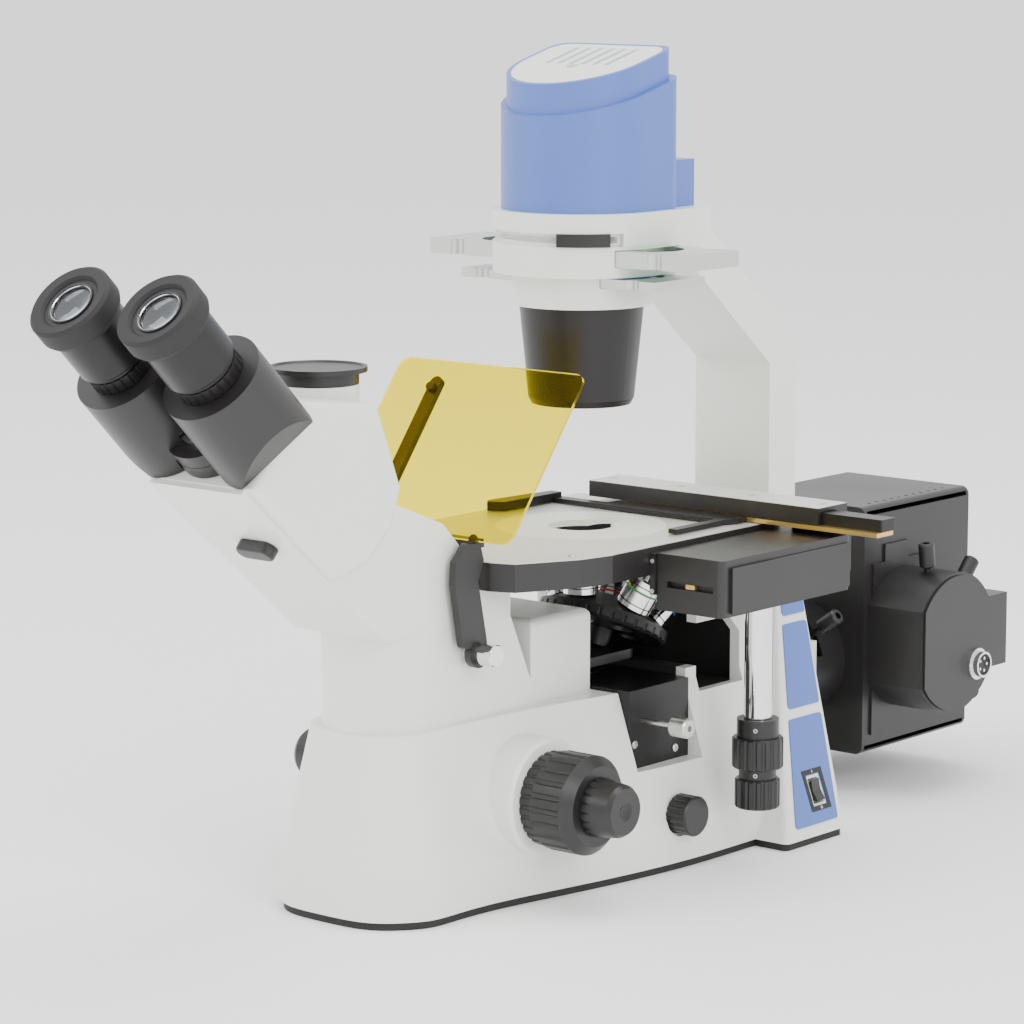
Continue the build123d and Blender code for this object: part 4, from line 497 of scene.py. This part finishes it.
def joined(pieces: Sequence[bpy.types.Object], name: str, body: Body) -> bpy.types.Object:
    """Joins pieces into one and lets it ride on a body.

    Args:
        pieces: the pieces.
        name: name of the joined piece.
        body: the body it rides on.

    Returns:
        The joined object.
    """
    select_only(pieces)
    if len(pieces) > 1:
        bpy.ops.object.join()
    whole = bpy.context.object
    whole.name = name
    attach(whole, body.value)
    return whole


def screw(spot: Spot, radius: float, look: Look = Look.SILVER) -> bpy.types.Object:
    """Makes one socket screw head that stands a little proud.

    Args:
        spot: the face it sits on.
        radius: radius of the head.
        look: its finish.

    Returns:
        The new object.
    """
    proud = radius * HEAD_PROUD
    socket = radius * HEAD_SOCKET
    profile = [(radius, -proud), (radius, proud * 0.7), (radius * HEAD_CROWN, proud), (socket, proud),
               (socket * SOCKET_DRAFT, proud * 0.1)]
    return put(turned(profile, 24), "screw", look, spot)


@dataclass(frozen=True)
class StandFittings:
    """Small screws, marks and the switch frame on the stand, in millimetres."""

    filter_screws: tuple[tuple[float, float], ...] = ((-27.0, 82.0), (15.0, 73.0))
    stage_screw: tuple[float, float] = (69.4, -94.5)
    screw_radius: float = 2.6
    house_inset: float = 12.0
    bezel_rim: float = 3.4
    bezel_proud: float = 1.2
    bezel_edge: float = 0.3
    mark_height: float = 0.08
    line_size: tuple[float, float] = (0.5, 1.8)
    ring_radius: float = 1.0
    ring_line: float = 0.35

    def build(self) -> None:
        """Builds the fittings."""
        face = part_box("filter_box")[1].x
        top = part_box("stage_plate")[1].z
        screws = [screw(Spot(Vector((face, y * MM, z * MM)), Vector((1, 0, 0))), self.screw_radius * MM)
                  for y, z in self.filter_screws]
        across, along = self.stage_screw
        screws.append(screw(Spot(Vector((across * MM, along * MM, top)), UP), self.screw_radius * MM))
        joined(screws, "stand_screws", Body.STAND)
        self._build_house_screws()
        self._build_bezel()

    def _build_house_screws(self) -> None:
        """Puts four screws on the lamp house's left face."""
        low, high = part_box("lamp_house")
        inset = self.house_inset * MM
        screws = [screw(Spot(Vector((low.x, y, z)), Vector((-1, 0, 0))), self.screw_radius * MM, Look.STEEL)
                  for y in (low.y + inset, high.y - inset) for z in (low.z + inset, high.z - inset)]
        joined(screws, "lamp_house_screws", Body.STAND)

    def _build_bezel(self) -> None:
        """Frames the switch and prints its two marks on the frame."""
        low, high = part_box("power_rocker")
        middle = (low + high) / 2
        normal = Vector((TOWER_HEIGHT, 0, TOWER_LEAN)).normalized()
        up = Vector((-normal.z, 0, normal.x))
        width, height = SWITCH_SIZE[0] * MM, SWITCH_SIZE[1] * MM
        rim = self.bezel_rim * MM
        surface = Vector((TOWER_FOOT * MM, 0, FOOT_HEIGHT * MM))
        centre = middle - normal * (middle - surface).dot(normal)
        across = Vector((0, 1, 0))
        bars = []
        for side in (1, -1):
            for shift, size in ((up * side * (height + rim) / 2, (width + 2 * rim, rim)),
                                (across * side * (width + rim) / 2, (rim, height))):
                bar = box_piece(*size, self.bezel_proud * MM, self.bezel_edge * MM)
                bars.append(put(bar, "switch frame", Look.PLASTIC, Spot(centre + shift, normal, across)))
        mark = centre + normal * self.bezel_proud * MM
        line = box_piece(self.line_size[0] * MM, self.line_size[1] * MM, self.mark_height * MM)
        bars.append(put(line, "on mark", Look.MARK, Spot(mark + up * (height + rim) / 2, normal, across)))
        ring = band(self.ring_radius * MM, self.mark_height * MM, self.ring_line * MM, 24)
        bars.append(put(ring, "off mark", Look.MARK, Spot(mark - up * (height + rim) / 2, normal)))
        joined(bars, "switch_frame", Body.STAND)


@dataclass(frozen=True)
class StageFittings:
    """Screws, the stop and the set screws of the mechanical stage, in millimetres."""

    rail_screws: int = 4
    rail_inset: float = 8.0
    rail_middle: float = 95.0
    rail_sink: float = 1.3
    rail_screw_radius: float = 2.7
    stop_place: tuple[float, float, float] = (116.0, -34.0, 189.0)
    stop_size: tuple[float, float, float] = (7.0, 3.4, 3.0)
    stop_edge: float = 0.3
    end_place: tuple[float, float] = (88.0, -38.0)
    end_heights: tuple[float, ...] = (204.4, 185.3)
    end_radius: float = 1.5
    collars: tuple[tuple[str, Body, float, float], ...] = (
        ("y_knob", Body.Y_DRIVE, 13.5, 90.0),
        ("x_knob", Body.X_DRIVE, 12.0, 60.3),
    )
    set_screw_turns: tuple[float, ...] = (-150.0, -60.0, 30.0, 120.0)
    set_screw_profile: tuple[tuple[float, float], ...] = ((1.3, -1.0), (1.3, 0.25), (0.8, 0.25), (0.75, -0.6))
    set_screw_sunk: float = 0.2

    def build(self) -> None:
        """Builds the fittings."""
        self._build_rail_screws(*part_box("cross_rail"))
        x, y, z = self.stop_place
        stop = box_piece(*(size * MM for size in self.stop_size), self.stop_edge * MM)
        put(stop, "travel stop", Look.BRASS, Spot(Vector((x * MM, y * MM, z * MM)), UP))
        joined([stop], "travel_stop", Body.Y_CARRIAGE)
        x, y = self.end_place
        screws = [screw(Spot(Vector((x * MM, y * MM, height * MM)), Vector((0, -1, 0))), self.end_radius * MM)
                  for height in self.end_heights]
        joined(screws, "guide_rail_screws", Body.STAND)
        for node, body, radius, height in self.collars:
            self._build_set_screws(node, body, radius, height)

    def _build_rail_screws(self, low: Vector, high: Vector) -> None:
        """Sinks a screw in each recess of the cross rail.

        Args:
            low: lowest corner of the rail.
            high: highest corner of the rail.
        """
        first, last = low.x + self.rail_inset * MM, high.x - self.rail_inset * MM
        step = (last - first) / (self.rail_screws - 1)
        height = high.z - self.rail_sink * MM
        screws = [screw(Spot(Vector((first + step * index, self.rail_middle * MM, height)), UP),
                        self.rail_screw_radius * MM)
                  for index in range(self.rail_screws)]
        joined(screws, "cross_rail_screws", Body.Y_CARRIAGE)

    def _build_set_screws(self, node: str, body: Body, radius: float, height: float) -> None:
        """Puts dark set screws round a knob's collar.

        Args:
            node: the knob.
            body: the body the knob belongs to.
            radius: radius of the collar.
            height: height of the screws.
        """
        low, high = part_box(node)
        centre = (low + high) / 2
        screws = []
        for turn in self.set_screw_turns:
            out = Vector((math.cos(math.radians(turn)), math.sin(math.radians(turn)), 0))
            place = Vector((centre.x, centre.y, height * MM)) + out * (radius - self.set_screw_sunk) * MM
            profile = [(r * MM, h * MM) for r, h in self.set_screw_profile]
            screws.append(put(turned(profile, 20), "set screw", Look.STEEL, Spot(place, out)))
        joined(screws, f"{node}_set_screws", body)


@dataclass(frozen=True)
class Eyepieces:
    """Eye lenses, their rings and a disc of painted shade under each lens, in millimetres."""

    seat: float = 56.0
    lens: float = 12.3
    lens_foot: float = -4.0
    lens_curve: tuple[tuple[float, float], ...] = (
        (1.0, -0.4),
        (0.86, 0.55),
        (0.62, 1.1),
        (0.34, 1.45),
        (0.05, 1.6),
    )
    # Span of the near-black disc under the eye lens, painted shade of the tube's inside
    shade_disc_span: tuple[float, float] = (-7.0, -4.5)
    rings: tuple[tuple[float, float, float, Look], ...] = (
        (17.3, 0.9, 2.6, Look.ANODISED),
        (14.6, 1.7, 1.1, Look.PLASTIC),
        (13.5, 1.1, 0.5, Look.CHROME),
    )

    def build(self) -> None:
        """Builds the optics of both eyepieces."""
        for side, body in ((1, Body.RIGHT_TUBE), (-1, Body.LEFT_TUBE)):
            spot = Spot(Vector((side * EYE_HALF * MM, MOUTH[0] * MM, MOUTH[1] * MM)), EYE_AXIS)
            seat = self.seat * MM
            curve = [(1.0, self.lens_foot), *self.lens_curve]
            glass = turned([(self.lens * share * MM, seat + height * MM) for share, height in curve])
            put(glass, "eye lens", Look.GLASS, spot)
            # A near-black disc under the eye lens: painted shade in place of the dark tube
            inside = turned([(self.lens * MM, seat + height * MM) for height in self.shade_disc_span])
            put(inside, "painted shade disc", Look.DARK, spot)
            ring_spot = Spot(spot.place + spot.axis.normalized() * seat, spot.axis)
            rings = []
            for radius, rise, wall, look in self.rings:
                ring = band(radius * MM, rise * MM, wall * MM)
                rings.append(put(ring, "lens ring", look, ring_spot))
            joined([glass, inside, *rings], f"{body.value}_eye_lens", body)


@dataclass(frozen=True)
class ObjectiveTrim:
    """Bands and front lenses of the objectives, in millimetres and degrees."""

    tilt: float = 25.0
    centre: tuple[float, float] = (24.0, 150.0)
    seat_height: float = 168.0
    radius: float = 11.5
    length: float = 38.0
    shares: tuple[tuple[float, float], ...] = (
        (1.0, 0.52),
        (0.87, 0.65),
        (0.92, 0.43),
        (0.74, 0.7),
        (0.9, 0.57),
    )
    bands: tuple[Look, ...] = (Look.YELLOW_BAND, Look.GREEN_BAND, Look.BLUE_BAND, Look.RED_BAND, Look.MARK)
    band_place: tuple[float, float] = (0.38, 1.4)
    # Turned grooves, drawn as near-black rings of painted shade
    groove_places: tuple[tuple[float, float], ...] = ((0.5, 0.7), (0.12, 0.7))
    band_proud: float = 0.08
    band_wall: float = 0.3
    rim: float = 2.5
    lens_steps: tuple[tuple[float, float], ...] = ((1.0, 2.5), (1.0, 0.8), (0.6, 0.35), (0.1, 0.3))

    def build(self) -> None:
        """Builds a band, two turned grooves drawn as rings of painted shade, and the front lens of each
        objective.
        """
        pieces = []
        for index, ((long, tip), look) in enumerate(zip(self.shares, self.bands)):
            spot = self._seat(index)
            length = self.length * long
            # The grooves take the near-black of painted shade
            places = [(*self.band_place, look), *((*place, Look.DARK) for place in self.groove_places)]
            for start, width, finish in places:
                ring = band((self.radius + self.band_proud) * MM, width * MM, self.band_wall * MM)
                shift = spot.axis.normalized() * length * start * MM
                pieces.append(put(ring, "objective band", finish, Spot(spot.place + shift, spot.axis)))
            lens = self.radius * tip - self.rim
            front = turned([(lens * share * MM, (length - depth) * MM) for share, depth in self.lens_steps])
            pieces.append(put(front, "front lens", Look.GLASS, spot))
        joined(pieces, "objective_trim", Body.NOSEPIECE)

    def _seat(self, index: int) -> Spot:
        """Finds the seat of one objective on the tilted turret.

        Args:
            index: which objective, 0 standing under the stage.

        Returns:
            The seat, facing along that objective's axis.
        """
        tilt = math.radians(self.tilt)
        turn = 2 * math.pi / len(self.shares) * index
        out = Vector((0, -math.cos(tilt), math.sin(tilt)))
        up = Vector((0, math.sin(tilt), math.cos(tilt)))
        side = up.cross(out)
        centre = Vector((0, self.centre[0], self.centre[1]))
        seat = Vector((0, 0, self.seat_height)) - centre
        radial = out * math.cos(turn) + side * math.sin(turn)
        place = centre + radial * seat.dot(out) + up * seat.dot(up)
        return Spot(place * MM, up * math.cos(tilt) + radial * math.sin(tilt))


@dataclass(frozen=True)
class SliderFilters:
    """Filter glasses in the sliders of the lamp head, in millimetres."""

    pitch: float = 0.55
    opening: float = 0.72
    clearance: float = 0.1
    thickness: float = 2.0

    def build(self) -> None:
        """Puts three glasses in each slider."""
        for node, body, looks in (
            ("upper_slider", Body.UPPER_FILTER, (Look.BLUE_FILTER, Look.GREY_FILTER, Look.GREEN_FILTER)),
            ("lower_slider", Body.LOWER_FILTER, (Look.GREY_FILTER, Look.GLASS, Look.BLUE_FILTER)),
        ):
            low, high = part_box(node)
            radius = high.y * self.opening - self.clearance * MM
            glasses = []
            for index, look in enumerate(looks):
                place = Vector(((index - 1) * high.x * self.pitch, 0, (low.z + high.z) / 2))
                glass = turned([(radius, 0), (radius, self.thickness * MM)])
                glasses.append(put(glass, "filter glass", look, Spot(place, UP)))
            joined(glasses, f"{node}_filters", body)


@dataclass(frozen=True)
class ConnectorInsert:
    """Insulating insert of the lamp's round connector, in millimetres."""

    radius: float = 7.4
    floor_depth: float = 4.0
    sunk: float = 0.2
    thickness: float = 1.2

    def build(self) -> None:
        """Builds the insert."""
        low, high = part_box("lamp_connector")
        centre = (low + high) / 2
        place = Vector((high.x - self.floor_depth * MM, centre.y, centre.z))
        insert = turned([(self.radius * MM, height * MM) for height in (-self.sunk, self.thickness)])
        put(insert, "connector insert", Look.PLASTIC, Spot(place, Vector((1, 0, 0))))
        joined([insert], "connector_insert", Body.STAND)


@dataclass(frozen=True)
class SoftLight:
    """One square area light aimed at the instrument.

    Attributes:
        name: object name.
        place: where it hangs, in metres.
        size: edge of the light, in metres.
        power: power in watts.
    """

    name: str
    place: tuple[float, float, float]
    size: float
    power: float


@dataclass(frozen=True)
class Studio:
    """The pale floor, the soft lights and the camera of the photograph."""

    target: tuple[float, float, float] = (-0.0341, -0.0286, 0.2215)
    camera_place: tuple[float, float, float] = (1.5624, -1.9312, 0.6238)
    lens: float = 137.1
    sensor: float = 36.0
    reach: float = 40.0
    floor_half: float = 6.0
    sky: float = 1.55
    lights: tuple[SoftLight, ...] = (
        SoftLight("key", (-1.6, -2.2, 2.4), 1.6, 52.0),
        SoftLight("side", (2.6, -0.9, 1.5), 1.2, 30.0),
        SoftLight("top", (0.3, 0.4, 2.8), 1.8, 40.0),
    )

    def build(self) -> None:
        """Builds the floor, lights and camera."""
        bpy.ops.object.select_all(action="DESELECT")
        bpy.ops.mesh.primitive_plane_add(size=2 * self.floor_half, location=(0, 0, 0))
        floor = bpy.context.object
        floor.name = "floor"
        floor.data.materials.append(Look.FLOOR.value.material())
        world = bpy.data.worlds.new("studio")
        bpy.context.scene.world = world
        world.use_nodes = True
        background = world.node_tree.nodes["Background"]
        background.inputs["Color"].default_value = (1.0, 1.0, 1.0, 1.0)
        background.inputs["Strength"].default_value = self.sky
        for light in self.lights:
            self._add_light(light)
        bpy.ops.object.camera_add(location=self.camera_place)
        camera = bpy.context.object
        camera.name = "camera"
        aim = Vector(self.target) - Vector(self.camera_place)
        camera.rotation_euler = aim.to_track_quat("-Z", "Y").to_euler()
        camera.data.lens = self.lens
        camera.data.sensor_width = self.sensor
        camera.data.clip_end = self.reach
        bpy.context.scene.camera = camera

    def _add_light(self, light: SoftLight) -> None:
        """Adds one soft area light aimed at the instrument.

        Args:
            light: its name, place, size and power.
        """
        bpy.ops.object.light_add(type="AREA", location=light.place)
        lamp = bpy.context.object
        lamp.name = light.name
        lamp.data.size = light.size
        lamp.data.energy = light.power
        aim = Vector(self.target) - Vector(light.place)
        lamp.rotation_euler = aim.to_track_quat("-Z", "Y").to_euler()


def main() -> None:
    """Builds the whole scene."""
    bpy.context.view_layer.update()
    dress_nodes()
    for fittings in (StandFittings, StageFittings, Eyepieces, ObjectiveTrim, SliderFilters, ConnectorInsert):
        fittings().build()
    Studio().build()


if __name__ == "__main__":
    main()
